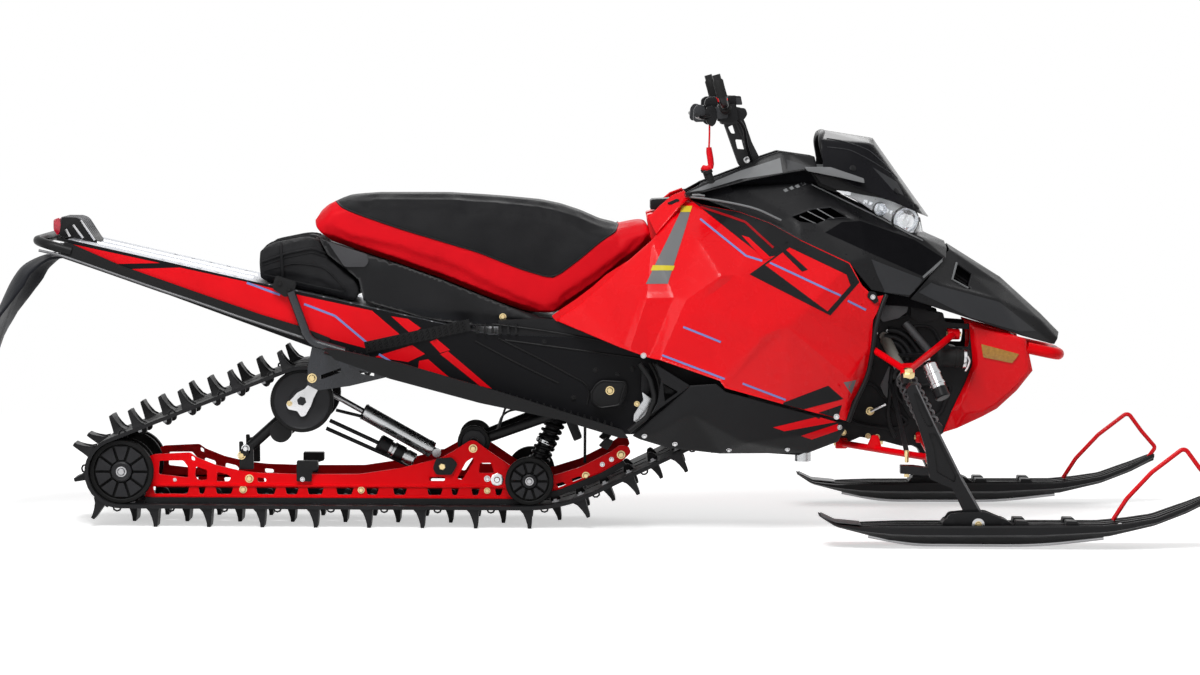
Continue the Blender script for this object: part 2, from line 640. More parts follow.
# ---- Snow flap
# A dished sheet of semi-stiff rubber that keeps the track's spray down, with moulded ribs down its back. It
# is screwed under the tunnel's rear edge.
bm = bmesh.new()
FLAP_BACK = [(-1.399, 0.736), (-1.468, 0.737), (-1.529, 0.706), (-1.558, 0.664), (-1.588, 0.600),
             (-1.625, 0.497), (-1.6745, 0.353)]
FLAP_HALF = 0.183
FLAP_CELLS = 24
FLAP_DISH = 0.040            # how far the edges curl inward at the middle of its length
FLAP_RIBS = ((0.10, 0.16), (0.55, 0.60))     # shares of the half width that stand up as ribs
FLAP_RIB_HIGH = 0.004
spine = eased([(x, 0, z) for x, z in FLAP_BACK], steps=4)
rows = []
for i, p in enumerate(spine):
    ahead = (spine[min(i + 1, len(spine) - 1)] - spine[max(i - 1, 0)]).normalized()
    inward = Vector((-ahead.z, 0, ahead.x))
    if inward.x < 0:
        inward = -inward
    dish = FLAP_DISH * math.sin(math.pi * min(1.0, i / (len(spine) - 1) * 1.15))
    row = []
    for k in range(FLAP_CELLS + 1):
        share = -1 + 2 * k / FLAP_CELLS
        across = abs(share)
        rib = FLAP_RIB_HIGH if any(low < across < high for low, high in FLAP_RIBS) else 0.0
        at = p + inward * (dish * max(0.0, (across - 0.55) / 0.45) ** 1.5 + rib)
        row.append(bm.verts.new((at.x, share * FLAP_HALF, at.z)))
    rows.append(row)
for low, high in zip(rows[:-1], rows[1:]):
    for k in range(FLAP_CELLS):
        bm.faces.new((low[k], low[k + 1], high[k + 1], high[k]))
flap_rubber = moulded("flap rubber", (0.014, 0.015, 0.019), rough=0.42, mottle=0.2, grain=500,
                      depth=0.0003, shine=0.08)
flap = finished(bm, "flap_sheet", [flap_rubber], stands_for=["snow_flap"])
thick = flap.modifiers.new("thickness", "SOLIDIFY")
thick.thickness = 0.007
thick.offset = 0
soft_edge = flap.modifiers.new("soft edge", "BEVEL")
soft_edge.width = 0.002
soft_edge.segments = 2
bm = bmesh.new()
for out in (0.145, 0.05):
    for x, z in ((-1.448, 0.741), (-1.425, 0.741)):
        screw(bm, (x, -out, z), (0, 0, 1), scale=0.8)
mirrored(bm)
finished(bm, "flap_screws", [bright_zinc])

# ---- Track
# One endless moulded rubber belt with fibreglass bars, paddle lugs outside, small drive lugs inside and
# pressed steel clips beside its windows. It runs round the rear, upper and drive wheels.
BELT = 0.010
LUG = 0.051
PITCHES = 51
TRACK_HALF = 0.1905
REAR_WHEEL = (-1.252, 0.149, 0.088)
UPPER_WHEEL = (-0.760, 0.345, 0.087)
DRIVE_WHEEL = (0.268, 0.317, 0.092)
APPROACH = math.radians(25.6)
BEND_R = 0.420
FLOOR_LINE = LUG + BELT


def over(rear, front, grow):
    """Ends of the belt's run over two wheels."""
    dx, dz = front[0] - rear[0], front[1] - rear[1]
    r1, r2 = rear[2] + grow, front[2] + grow
    angle = math.atan2(dz, dx) - math.asin((r1 - r2) / math.hypot(dx, dz))
    up = Vector((-math.sin(angle), math.cos(angle)))
    return Vector(rear[:2]) + up * r1, Vector(front[:2]) + up * r2


def belt_runs(grow):
    """The belt's line, as straight runs and arcs, in order from under the rear wheel."""
    floor_z = FLOOR_LINE - grow
    rear_top, upper_rear = over(REAR_WHEEL, UPPER_WHEEL, grow)
    upper_front, drive_top = over(UPPER_WHEEL, DRIVE_WHEEL, grow)
    r = DRIVE_WHEEL[2] + grow
    foot = Vector((DRIVE_WHEEL[0] + r * math.sin(APPROACH), DRIVE_WHEEL[1] - r * math.cos(APPROACH)))
    corner = foot.x - (foot.y - floor_z) / math.tan(APPROACH)
    reach = (BEND_R + grow) * math.tan(APPROACH / 2)
    bend_in = Vector((corner - reach, floor_z))
    bend_out = Vector((corner + reach * math.cos(APPROACH), floor_z + reach * math.sin(APPROACH)))
    start = Vector((REAR_WHEEL[0], floor_z))
    centre = (bend_in.x, floor_z + BEND_R + grow)
    return [(start, bend_in, None, 0), (bend_in, bend_out, centre, BEND_R + grow),
            (bend_out, foot, None, 0), (foot, drive_top, DRIVE_WHEEL[:2], r),
            (drive_top, upper_front, None, 0),
            (upper_front, upper_rear, UPPER_WHEEL[:2], UPPER_WHEEL[2] + grow),
            (upper_rear, rear_top, None, 0), (rear_top, start, REAR_WHEEL[:2], REAR_WHEEL[2] + grow)]


def run_angles(run):
    """Where an arc starts and ends round its centre."""
    start, end, centre, _ = run
    first = math.atan2(start.y - centre[1], start.x - centre[0])
    last = math.atan2(end.y - centre[1], end.x - centre[0])
    while last < first:
        last += 2 * math.pi
    return first, last


def run_length(run):
    """Length of a straight run or an arc."""
    if run[2] is None:
        return (run[1] - run[0]).length
    first, last = run_angles(run)
    return (last - first) * run[3]


middle_line = belt_runs(BELT / 2)
belt_length = sum(run_length(run) for run in middle_line)
pitch = belt_length / PITCHES


def on_belt(distance):
    """Point and heading of the belt's middle line at a distance along it."""
    distance %= belt_length
    for run in middle_line:
        length = run_length(run)
        if distance <= length:
            if run[2] is None:
                way = (run[1] - run[0]).normalized()
                return run[0] + way * distance, way
            angle = run_angles(run)[0] + distance / run[3]
            at = Vector(run[2]) + Vector((math.cos(angle), math.sin(angle))) * run[3]
            return at, Vector((-math.sin(angle), math.cos(angle)))
        distance -= length
    return middle_line[0][0], Vector((1, 0))


def belt_point(distance, out, height):
    """A place on the belt; height is measured from its middle, above zero outside the loop."""
    at, way = on_belt(distance)
    away = Vector((way.y, -way.x))
    spot = at + away * height
    return Vector((spot.x, -out, spot.y))


belt_rubber = moulded("belt rubber", (0.011, 0.011, 0.012), rough=0.50, mottle=0.3, grain=260, depth=0.0006)
clip_steel = moulded("clip steel", (0.30, 0.30, 0.31), rough=0.35, metal=1.0, grain=400, depth=0.0001)
# Strips across the belt: inner edge, outer edge, has windows
STRIPS = [(-TRACK_HALF, -0.112, False), (-0.112, -0.056, False), (-0.056, -0.032, True),
          (-0.032, 0.032, False), (0.032, 0.056, True), (0.056, 0.112, False),
          (0.112, TRACK_HALF, False)]
STEPS_A_PITCH = 4
WINDOW_STEPS = (3, 0)
ROW_LAG = 0.014          # how far the first row sits behind the rear wheel's foot, beyond half a pitch
JOINT_ROW = 32           # the belt has an odd count of rows, so two like rows meet inside the tunnel
bm = bmesh.new()
columns = sorted({s[0] for s in STRIPS} | {s[1] for s in STRIPS})
steps = PITCHES * STEPS_A_PITCH
grid = []
for k in range(steps):
    distance = k * pitch / STEPS_A_PITCH - ROW_LAG
    grid.append([[bm.verts.new(belt_point(distance, out, h)) for out in columns]
                 for h in (-BELT / 2, BELT / 2)])
open_cell = {}
for k in range(steps):
    for i, (_, _, windows) in enumerate(STRIPS):
        open_cell[k, i] = windows and (k % STEPS_A_PITCH) in WINDOW_STEPS
for k in range(steps):
    a, b = grid[k], grid[(k + 1) % steps]
    for i in range(len(STRIPS)):
        if open_cell[k, i]:
            continue
        bm.faces.new((a[1][i], a[1][i + 1], b[1][i + 1], b[1][i]))
        bm.faces.new((a[0][i], b[0][i], b[0][i + 1], a[0][i + 1]))
        if i == 0 or open_cell[k, i - 1]:
            bm.faces.new((a[0][i], a[1][i], b[1][i], b[0][i]))
        if i == len(STRIPS) - 1 or open_cell[k, i + 1]:
            bm.faces.new((a[0][i + 1], b[0][i + 1], b[1][i + 1], a[1][i + 1]))
        if open_cell[(k - 1) % steps, i]:
            bm.faces.new((a[0][i], a[0][i + 1], a[1][i + 1], a[1][i]))
        if open_cell[(k + 1) % steps, i]:
            bm.faces.new((b[0][i], b[1][i], b[1][i + 1], b[0][i + 1]))

# One paddle as stacked sections: height, back, front (along the belt), share of its width at that height.
# Its leading face is straight and its trailing face flares into the belt.
PADDLE = [(-0.001, -0.023, 0.0095, 1.08), (0.005, -0.017, 0.0085, 1.03), (0.013, -0.0115, 0.0075, 1.0),
          (0.026, -0.0080, 0.0066, 0.98), (0.042, -0.0062, 0.0055, 0.95),
          (LUG - 0.001, -0.0055, 0.0045, 0.93), (LUG, -0.0045, 0.0035, 0.91)]


def paddle(bm, distance, out, half, sections, inward=False, material=0):
    """A lug that stands on the belt, lofted through its sections."""
    away_sign = -1 if inward else 1
    at, way = on_belt(distance)
    away = Vector((way.y, -way.x)) * away_sign
    rings = []
    for height, back, front, share in sections:
        ring = []
        for along, side in ((back, -1), (front, -1), (front, 1), (back, 1)):
            spot = at + away * (BELT / 2 + height) + way * along
            ring.append(bm.verts.new((spot.x, -(out + side * half * share), spot.y)))
        rings.append(ring)
    for low, high in zip(rings[:-1], rings[1:]):
        for k in range(4):
            bm.faces.new((low[k], low[(k + 1) % 4], high[(k + 1) % 4], high[k])).material_index = material
    bm.faces.new(list(reversed(rings[0]))).material_index = material
    bm.faces.new(rings[-1]).material_index = material


# The same for a paddle's buttress, a drive lug, a clip's plate and a clip's tab
BUTTRESS = [(-0.001, -0.027, 0.004, 1.0), (0.010, -0.017, 0.004, 0.9), (0.026, -0.0105, 0.004, 0.8),
            (0.040, -0.0066, 0.003, 0.6)]
DRIVE_LUG = [(-0.001, -0.0145, 0.0145, 1.0), (0.008, -0.0115, 0.0115, 0.98), (0.015, -0.0085, 0.0085, 0.93),
             (0.0185, -0.0055, 0.0055, 0.86), (0.020, -0.003, 0.003, 0.78)]
CLIP = [(-0.0005, -0.010, 0.010, 1.0), (0.0016, -0.009, 0.009, 0.98)]
CLIP_TAB = [(0.0, -0.006, 0.006, 1.0), (0.008, -0.004, 0.004, 0.9)]
# A hoop beside the middle paddles, as places along the belt and above its middle
HOOP = [(-0.022, 0.004), (-0.025, 0.011), (-0.032, 0.0135), (-0.039, 0.011), (-0.042, 0.004)]
for row in range(PITCHES):
    distance = (row + 0.5) * pitch - ROW_LAG
    # Every other row carries two outer paddles, the rest one in the middle and a hoop near each edge.
    outer_row = row % 2 == (1 if row < JOINT_ROW else 0)
    places = [(0.148, 0.036), (-0.148, 0.036)] if outer_row else [(0.0, 0.052)]
    for out, half in places:
        paddle(bm, distance, out, half, PADDLE)
        for side in (-0.84, 0.84):
            paddle(bm, distance, out + side * half, 0.0035, BUTTRESS)
    if not outer_row:
        for out in (0.178, -0.178):
            sweep_round(bm, [belt_point(distance + along, out, up) for along, up in HOOP], 0.0026, 8)
    for out in (0.065, -0.065):
        paddle(bm, distance, out, 0.011, DRIVE_LUG, inward=True)
    for out in (0.120, 0.046, -0.046, -0.120):
        paddle(bm, distance, out, 0.015, CLIP, inward=True, material=1)
        paddle(bm, distance, out + math.copysign(0.012, out), 0.0015, CLIP_TAB, inward=True, material=1)
finished(bm, "track_belt", [belt_rubber, clip_steel], stands_for=["track"], sharp=45)

# ---- Idler wheels
# Moulded nylon wheels with rubber tyres on plain steel shafts. The rear and front ones are webbed with ten
# pads between narrow grooves; the upper ones are plain dished discs.
wheel_black = moulded("wheel nylon", (0.020, 0.020, 0.022), rough=0.34, mottle=0.18, grain=700, depth=0.0002)
wheel_tyre = moulded("wheel tyre", (0.005, 0.005, 0.005), rough=0.6, mottle=0.2, grain=300, depth=0.0004)
steel = moulded("plain steel", (0.42, 0.42, 0.43), rough=0.3, metal=1.0, grain=500, depth=0.00006)
PADS = 10
PAD_GAP = 0.00736            # width of the groove between two pads
SHAFT_R = 0.012


def webbed_wheel(bm, centre, out, width, r, hub=0.030):
    """A wheel whose outer face stands at out + width."""
    face = out + width
    at = (centre[0], -out, centre[1])
    rim = r - 0.010
    turned(bm, at, (0, -1, 0), [(0.0, hub), (0.0, r - 0.014), (0.0, r - 0.002), (0.002, r),
                                (width - 0.002, r), (width, r - 0.002), (width, rim)], 56, 1)
    turned(bm, at, (0, -1, 0), [(width, rim), (width - 0.001, rim - 0.002), (width - 0.012, rim - 0.004),
                                (width - 0.014, hub)], 56, 1)
    turned(bm, at, (0, -1, 0), [(width - 0.014, hub), (width - 0.001, hub - 0.003),
                                (width + 0.001, hub - 0.007), (width - 0.001, 0.018),
                                (width - 0.002, 0.0)], 40, 0)
    low, high = hub + 0.002, rim - 0.006
    for k in range(PADS):
        quad = []
        for radius, side in ((low, -1), (high, -1), (high, 1), (low, 1)):
            half = math.pi / PADS - PAD_GAP / (2 * radius)
            angle = 2 * math.pi * (k + 0.5) / PADS + side * half
            quad.append((centre[0] + radius * math.cos(angle), centre[1] + radius * math.sin(angle)))
        slab(bm, quad, face - 0.014, face - 0.0015, radius=0.003, edge=0.0018)


def plain_wheel(bm, centre, out, width, r):
    """A dished disc with its tyre."""
    at = (centre[0], -out, centre[1])
    turned(bm, at, (0, -1, 0), [(0.0, 0.010), (0.0, r - 0.014), (0.0, r - 0.002), (0.002, r),
                                (width - 0.002, r), (width, r - 0.002), (width, r - 0.009)], 64, 1)
    turned(bm, at, (0, -1, 0), [(width, r - 0.009), (width - 0.002, r - 0.010), (width - 0.0035, r - 0.013),
                                (width - 0.006, 0.036), (width - 0.002, 0.031), (width - 0.002, 0.0)], 64, 0)


def axle_shaft(bm, centre, half):
    """A plain shaft across the skid, the same length each side of its middle."""
    turned(bm, (centre[0], -half, centre[1]), (0, 1, 0), [(0, SHAFT_R), (2 * half, SHAFT_R)], 20, 2)


REAR_AXLE = REAR_WHEEL[:2]
UPPER_AXLE = UPPER_WHEEL[:2]
MID_AXLE = (-0.139, 0.128)
CARRIER_AXLE = (-0.293, 0.229)
bm = bmesh.new()
webbed_wheel(bm, REAR_AXLE, 0.146, 0.022, 0.0872)
webbed_wheel(bm, REAR_AXLE, 0.084, 0.018, 0.0872)
screw(bm, (REAR_AXLE[0], -0.167, REAR_AXLE[1]), material=2, scale=1.5)
mirrored(bm)
axle_shaft(bm, REAR_AXLE, 0.170)
finished(bm, "rear_wheel_set", [wheel_black, wheel_tyre, steel],
         stands_for=["rear_idlers"])

bm = bmesh.new()
webbed_wheel(bm, MID_AXLE, 0.140, 0.024, 0.0663, hub=0.022)
screw(bm, (MID_AXLE[0], -0.163, MID_AXLE[1]), material=2, scale=1.2)
mirrored(bm)
axle_shaft(bm, MID_AXLE, 0.165)
finished(bm, "front_wheel_set", [wheel_black, wheel_tyre, steel],
         stands_for=["mid_idlers"])

# The upper wheels turn on a cast carrier: a bright three-cornered plate with a black hex end.
bm = bmesh.new()
plain_wheel(bm, UPPER_AXLE, 0.140, 0.024, 0.0863)
HANGER = [(-0.735, 0.398), (-0.712, 0.384), (-0.728, 0.352), (-0.735, 0.332), (-0.750, 0.305),
          (-0.762, 0.302), (-0.772, 0.318), (-0.796, 0.322), (-0.803, 0.336), (-0.786, 0.352),
          (-0.772, 0.368), (-0.752, 0.378)]
slab(bm, HANGER, 0.164, 0.170, radius=0.005, edge=0.0015, material=3)
turned(bm, (UPPER_AXLE[0], -0.168, UPPER_AXLE[1]), (0, -1, 0),
       [(0, 0.0), (0, 0.013), (0.003, 0.013), (0.003, 0.0)], 6, 0)
screw(bm, (-0.793, -0.1695, 0.338), material=4, scale=0.8)
mirrored(bm)
axle_shaft(bm, UPPER_AXLE, 0.171)
finished(bm, "upper_wheel_set", [wheel_black, wheel_tyre, steel, bright_zinc, gold_zinc],
         stands_for=["upper_idlers"])

bm = bmesh.new()
plain_wheel(bm, CARRIER_AXLE, 0.080, 0.020, 0.0447)
mirrored(bm)
axle_shaft(bm, CARRIER_AXLE, 0.110)
finished(bm, "carrier_wheel_set", [wheel_black, wheel_tyre, steel],
         stands_for=["carrier_idlers"])
recoat(wheel_black, "drive_axle")

# ---- Slide rails
# Two extruded aluminium beams, pierced with windows and painted red. Black plastic runners clipped along
# their lower edges slide on the track.
rail_red = moulded("rail red paint", (0.86, 0.001, 0.005), rough=0.32, mottle=0.06, grain=900,
                   depth=0.00008, shine=0.10)
runner_black = moulded("runner plastic", (0.013, 0.013, 0.014), rough=0.5, mottle=0.2, grain=500,
                       depth=0.0003)
RAIL_OUT = 0.120
RAIL = 0.010
RAIL_FOOT = 0.076
RAIL_SIDE = [(-1.190, RAIL_FOOT), (-1.183, 0.186), (-1.166, 0.194), (-1.068, 0.199), (-1.050, 0.186),
             (-0.997, 0.165), (-0.932, 0.150), (-0.877, 0.144), (-0.768, 0.141), (-0.604, 0.142),
             (-0.494, 0.159), (-0.385, 0.186), (-0.344, 0.209), (-0.303, 0.236), (-0.289, 0.236),
             (-0.248, 0.206), (-0.193, 0.169), (-0.138, 0.132), (-0.097, 0.134), (-0.001, 0.164),
             (0.081, 0.206), (0.108, 0.226), (0.132, 0.222), (0.138, 0.205), (0.116, 0.183),
             (0.054, 0.148), (-0.056, 0.103), (-0.138, 0.082), (-0.185, RAIL_FOOT)]
# Lower windows as x from and to, at one height
FOOT_WINDOWS = [(-1.170, -1.070), (-1.046, -1.025), (-0.999, -0.950), (-0.888, -0.832), (-0.808, -0.770),
                (-0.748, -0.702), (-0.669, -0.620), (-0.587, -0.551), (-0.513, -0.474), (-0.420, -0.376),
                (-0.354, -0.332), (-0.299, -0.275), (-0.234, -0.212)]
WINDOW_FLOOR, WINDOW_TOP = 0.085, 0.105
UPPER_WINDOWS = [[(-1.152, 0.176), (-1.087, 0.177), (-1.074, 0.160), (-1.074, 0.130), (-1.154, 0.139)],
                 [(-1.065, 0.190), (-1.056, 0.186), (-1.054, 0.176), (-1.064, 0.178)],
                 [(-1.052, 0.161), (-1.022, 0.151), (-1.022, 0.124), (-1.046, 0.123), (-1.055, 0.135)],
                 [(-0.994, 0.146), (-0.964, 0.139), (-0.956, 0.130), (-0.962, 0.120), (-0.996, 0.120)],
                 [(-0.885, 0.131), (-0.860, 0.129), (-0.860, 0.119), (-0.883, 0.119)],
                 [(-0.414, 0.135), (-0.371, 0.135), (-0.371, 0.124), (-0.414, 0.124)],
                 [(-0.324, 0.127), (-0.338, 0.131), (-0.313, 0.177), (-0.294, 0.190), (-0.292, 0.178)],
                 [(-0.278, 0.147), (-0.275, 0.174), (-0.245, 0.175), (-0.236, 0.147)],
                 [(-0.067, 0.118), (-0.048, 0.124), (-0.036, 0.112), (-0.058, 0.104)],
                 [(-0.026, 0.131), (-0.001, 0.140), (0.009, 0.126), (-0.014, 0.116)]]
foot_windows = [[(a, WINDOW_TOP), (b, WINDOW_TOP), (b - 0.006, WINDOW_FLOOR), (a + 0.004, WINDOW_FLOOR)]
                for a, b in FOOT_WINDOWS]
bm = bmesh.new()
slab(bm, RAIL_SIDE, RAIL_OUT + 0.003, RAIL_OUT + RAIL - 0.002, foot_windows + UPPER_WINDOWS, radius=0.006,
     cut_radius=0.005)
# The foot flange, and the bead along the middle of the extrusion
FLANGE = [(-1.190, RAIL_FOOT), (-0.185, RAIL_FOOT), (-0.138, 0.082), (-0.056, 0.103), (0.054, 0.148),
          (0.116, 0.183)]
flange = FLANGE + [(x - 0.002, z + 0.005) for x, z in reversed(FLANGE)]
slab(bm, flange, RAIL_OUT, RAIL_OUT + RAIL, edge=0.001)
BEAD = [(-1.184, 0.112), (-0.212, 0.112), (-0.150, 0.102), (-0.150, 0.098), (-0.214, 0.107), (-1.184, 0.107)]
slab(bm, BEAD, RAIL_OUT + 0.003, RAIL_OUT + RAIL + 0.003, edge=0.001)
# Screws through the rail: x, z, finish, scale
RAIL_SCREWS = [(-0.906, 0.128, 2, 1.2), (-0.923, 0.098, 2, 1.1), (-0.600, 0.098, 2, 1.0),
               (-0.255, 0.131, 1, 0.9), (-0.255, 0.098, 2, 0.9), (0.015, 0.141, 2, 1.1),
               (0.111, 0.199, 2, 1.2), (-0.294, 0.214, 2, 1.2), (-0.378, 0.164, 2, 1.5),
               (0.060, 0.172, 1, 0.7), (0.085, 0.186, 1, 0.7), (-1.110, 0.124, 1, 0.5)]
for x, z, material, size in RAIL_SCREWS:
    screw(bm, (x, -RAIL_OUT - RAIL + 0.002, z), material=material, scale=size)
turned(bm, (-0.228, -RAIL_OUT - RAIL + 0.002, 0.129), (0, -1, 0),
       [(0, 0.018), (0.004, 0.018), (0.005, 0.016), (0.005, 0.010)], 8, 1)
screw(bm, (-0.228, -RAIL_OUT - RAIL - 0.002, 0.129), material=1, scale=1.2)
# Axle blocks: a black clamp at the rear, the torque-arm block and the front one
slab(bm, [(-0.776, 0.178), (-0.718, 0.178), (-0.718, 0.155), (-0.735, 0.150), (-0.735, 0.122),
          (-0.776, 0.122)], 0.112, 0.140, radius=0.003, edge=0.0015, material=3)
screw(bm, (-0.760, -0.140, 0.128), material=1, scale=0.7)
slab(bm, [(-0.395, 0.186), (-0.352, 0.190), (-0.336, 0.172), (-0.352, 0.142), (-0.394, 0.142),
          (-0.404, 0.160)], 0.130, 0.137, radius=0.006, edge=0.001, material=3)
slab(bm, [(0.050, 0.224), (0.070, 0.245), (0.090, 0.236), (0.074, 0.212)], 0.112, 0.138, radius=0.003,
     edge=0.001, material=3)
mirrored(bm)
finished(bm, "rail_beams", [rail_red, bright_zinc, gold_zinc, black_coat],
         stands_for=["skid_rails"])
recoat(runner_black, "sliders")

# ---- Skid arms and shocks
# Welded tube arms, coated black, carry the rails. Two aluminium dampers stand between them, the rear one
# with a side reservoir; thin hoses and a limiting strap run beside them.
recoat(black_coat, "rear_swing_arm", "front_swing_arm")
COIL_STEPS = 18              # points round one turn of a spring
shock_silver = moulded("shock body", (0.50, 0.51, 0.52), rough=0.26, mottle=0.05, metal=1.0, grain=600,
                       depth=0.00003)
spring_black = moulded("spring coat", (0.008, 0.008, 0.009), rough=0.36, grain=900, depth=0.0001)


def coil(bm, start, end, radius, wire, turns, material=0):
    """A wound spring with closed end turns."""
    start, end = Vector(start), Vector(end)
    axis = (end - start).normalized()
    across = axis.orthogonal().normalized()
    other = axis.cross(across)
    count = int(turns * COIL_STEPS)
    line = []
    for k in range(count + 1):
        t = k / count
        angle = t * turns * 2 * math.pi
        line.append(start.lerp(end, t) + (across * math.cos(angle) + other * math.sin(angle)) * radius)
    sweep_round(bm, line, wire, 8, material)


def damper(bm, low, high, body_r, shaft_r, body_share, material=0, shaft_material=1):
    """A damper: body from its low end, a bright shaft to the high end, and an eye at each."""
    low, high = Vector(low), Vector(high)
    way = high - low
    length = way.length
    body = length * body_share
    turned(bm, low, way, [(0.0, body_r * 0.5), (0.012, body_r * 0.5), (0.014, body_r),
                          (body * 0.12, body_r * 1.06), (body * 0.14, body_r), (body * 0.96, body_r),
                          (body * 0.98, body_r * 1.08), (body, body_r * 0.9), (body, shaft_r)], 28,
           material)
    turned(bm, low + way.normalized() * body, way, [(0.0, shaft_r), (length - body, shaft_r)], 16,
           shaft_material)
    for end in (low, high):
        turned(bm, end + Vector((0, 0.016, 0)), (0, -1, 0),
               [(0, 0.0), (0, 0.012), (0.032, 0.012), (0.032, 0)], 18, material)


bm = bmesh.new()
damper(bm, (-0.398, 0, 0.190), (-0.700, 0, 0.358), 0.0225, 0.008, 0.68, 0, 2)
# Reservoir beside the rear damper, with two bright bands
RESERVOIR = ((-0.458, -0.060, 0.172), (-0.560, -0.060, 0.226))
way = Vector(RESERVOIR[1]) - Vector(RESERVOIR[0])
turned(bm, RESERVOIR[0], way, [(0, 0), (0, 0.019), (0.003, 0.022), (0.026, 0.022), (0.026, 0.020),
                               (0.034, 0.020)], 24, 0)
turned(bm, RESERVOIR[0], way, [(0.034, 0.023), (0.040, 0.023), (0.046, 0.0235), (0.052, 0.023),
                               (0.060, 0.023)], 24, 1)
turned(bm, RESERVOIR[0], way, [(0.060, 0.0235), (0.066, 0.0235), (0.068, 0.020), (0.076, 0.020)], 24, 0)
turned(bm, RESERVOIR[0], way, [(0.076, 0.024), (0.108, 0.024), (0.112, 0.018), (0.112, 0)], 24, 1)
# Torque rods from the upper wheel carrier down to the rails: start, end
for start, end, r in (((-0.690, -0.070, 0.284), (-0.555, -0.070, 0.222), 0.0055),
                      ((-0.700, -0.066, 0.262), (-0.470, -0.066, 0.160), 0.0055),
                      ((-0.675, -0.040, 0.310), (-0.600, -0.040, 0.292), 0.0045)):
    sweep_round(bm, [start, end], r, 10, 1)
# Centre damper with its spring, and the strap
coil(bm, (-0.118, 0, 0.165), (-0.062, 0, 0.296), 0.025, 0.0050, 8.5, 1)
damper(bm, (-0.130, 0, 0.146), (-0.048, 0, 0.326), 0.020, 0.009, 0.75, 1, 1)
turned(bm, (-0.098, 0, 0.216), (0.082, 0, 0.180), [(0, 0.026), (0.002, 0.029), (0.010, 0.029),
                                                   (0.012, 0.026)], 28, 0)
slab(bm, [(0.008, 0.300), (0.016, 0.300), (0.016, 0.165), (0.008, 0.165)], -0.02, 0.02, material=1)
slab(bm, [(-0.045, 0.290), (-0.020, 0.296), (0.004, 0.235), (-0.018, 0.226)], -0.03, 0.03, radius=0.004,
     edge=0.002, material=1)
# Two thin hoses that loop up from the carrier
for route, out in (([(-0.226, 0.262), (-0.205, 0.330), (-0.170, 0.352), (-0.120, 0.345)], 0.08),
                   ([(-0.236, 0.235), (-0.215, 0.310), (-0.150, 0.320)], 0.06)):
    sweep_round(bm, eased(at_side(route, out)), 0.003, 8, 1)
finished(bm, "skid_dampers", [shock_silver, spring_black, steel],
         stands_for=["skid_shocks"])
# Shackle at the rear arm's foot
bm = bmesh.new()
slab(bm, [(-0.936, 0.228), (-0.926, 0.228), (-0.920, 0.196), (-0.906, 0.196), (-0.904, 0.222),
          (-0.897, 0.222), (-0.896, 0.152), (-0.934, 0.152)], 0.100, 0.112, radius=0.003, edge=0.0015)
screw(bm, (-0.918, -0.112, 0.209), material=1, scale=1.2)
screw(bm, (-0.929, -0.112, 0.190), material=2, scale=1.2)
mirrored(bm)
finished(bm, "arm_shackles", [black_coat, bright_zinc, gold_zinc])

# ---- Storage bag
# A zipped bag of black coated cloth over a foam core, strapped down on the tunnel behind the seat. It is a
# soft piece: inflated a little, so its panels crown between piped seams.
BAG_SIDE = [(-0.876, 0.752), (-0.852, 0.765), (-0.766, 0.783), (-0.722, 0.786), (-0.710, 0.782),
            (-0.690, 0.738), (-0.612, 0.668), (-0.602, 0.648), (-0.607, 0.620), (-0.876, 0.678)]
BAG_HALF = 0.160
CLOTH_FRAMES = 20
SEAM_SHOWS = 0.65            # share of a seam's radius that stands above the cloth


def clouded(name, grain, dark, light, smear, gloss):
    """A finish with a clouded colour and a clouded gloss, to be given its own relief or clearness."""
    material, net, shader = tree(name)
    wire(net, (blend_colours(net, noise(net, grain), dark, light), shader.inputs["Base Color"]),
         (spread(net, noise(net, smear), *gloss), shader.inputs["Roughness"]))
    return material, net, shader


def pebbled(net, shader, scale, depth):
    """The cellular grain of a coated cloth or a vinyl."""
    cells = node(net, "TexVoronoi", Scale=scale)
    wire(net, (node(net, "TexCoord").outputs["Object"], cells.inputs["Vector"]))
    relief(net, shader, cells.outputs["Distance"], depth)


bag_cloth, net, shader = clouded("coated bag cloth", 9.0, (0.008, 0.008, 0.009), (0.017, 0.017, 0.018),
                                 30.0, (0.52, 0.70))
shader.inputs["Specular IOR Level"].default_value = 0.14
pebbled(net, shader, 900.0, 0.0005)


def filled_block(bm, outline, half):
    """A closed block across the machine from one side outline, ready to be remeshed and inflated."""
    left = [bm.verts.new((x, half, z)) for x, z in outline]
    right = [bm.verts.new((x, -half, z)) for x, z in outline]
    edges = [bm.edges.new((left[i - 1], left[i])) for i in range(len(left))]
    other = [bm.edges.new((right[i - 1], right[i])) for i in range(len(right))]
    bmesh.ops.triangle_fill(bm, use_beauty=True, edges=edges)
    bmesh.ops.triangle_fill(bm, use_beauty=True, edges=other)
    for i in range(len(left)):
        bm.faces.new((left[i - 1], left[i], right[i], right[i - 1]))
    bmesh.ops.recalc_face_normals(bm, faces=bm.faces[:])


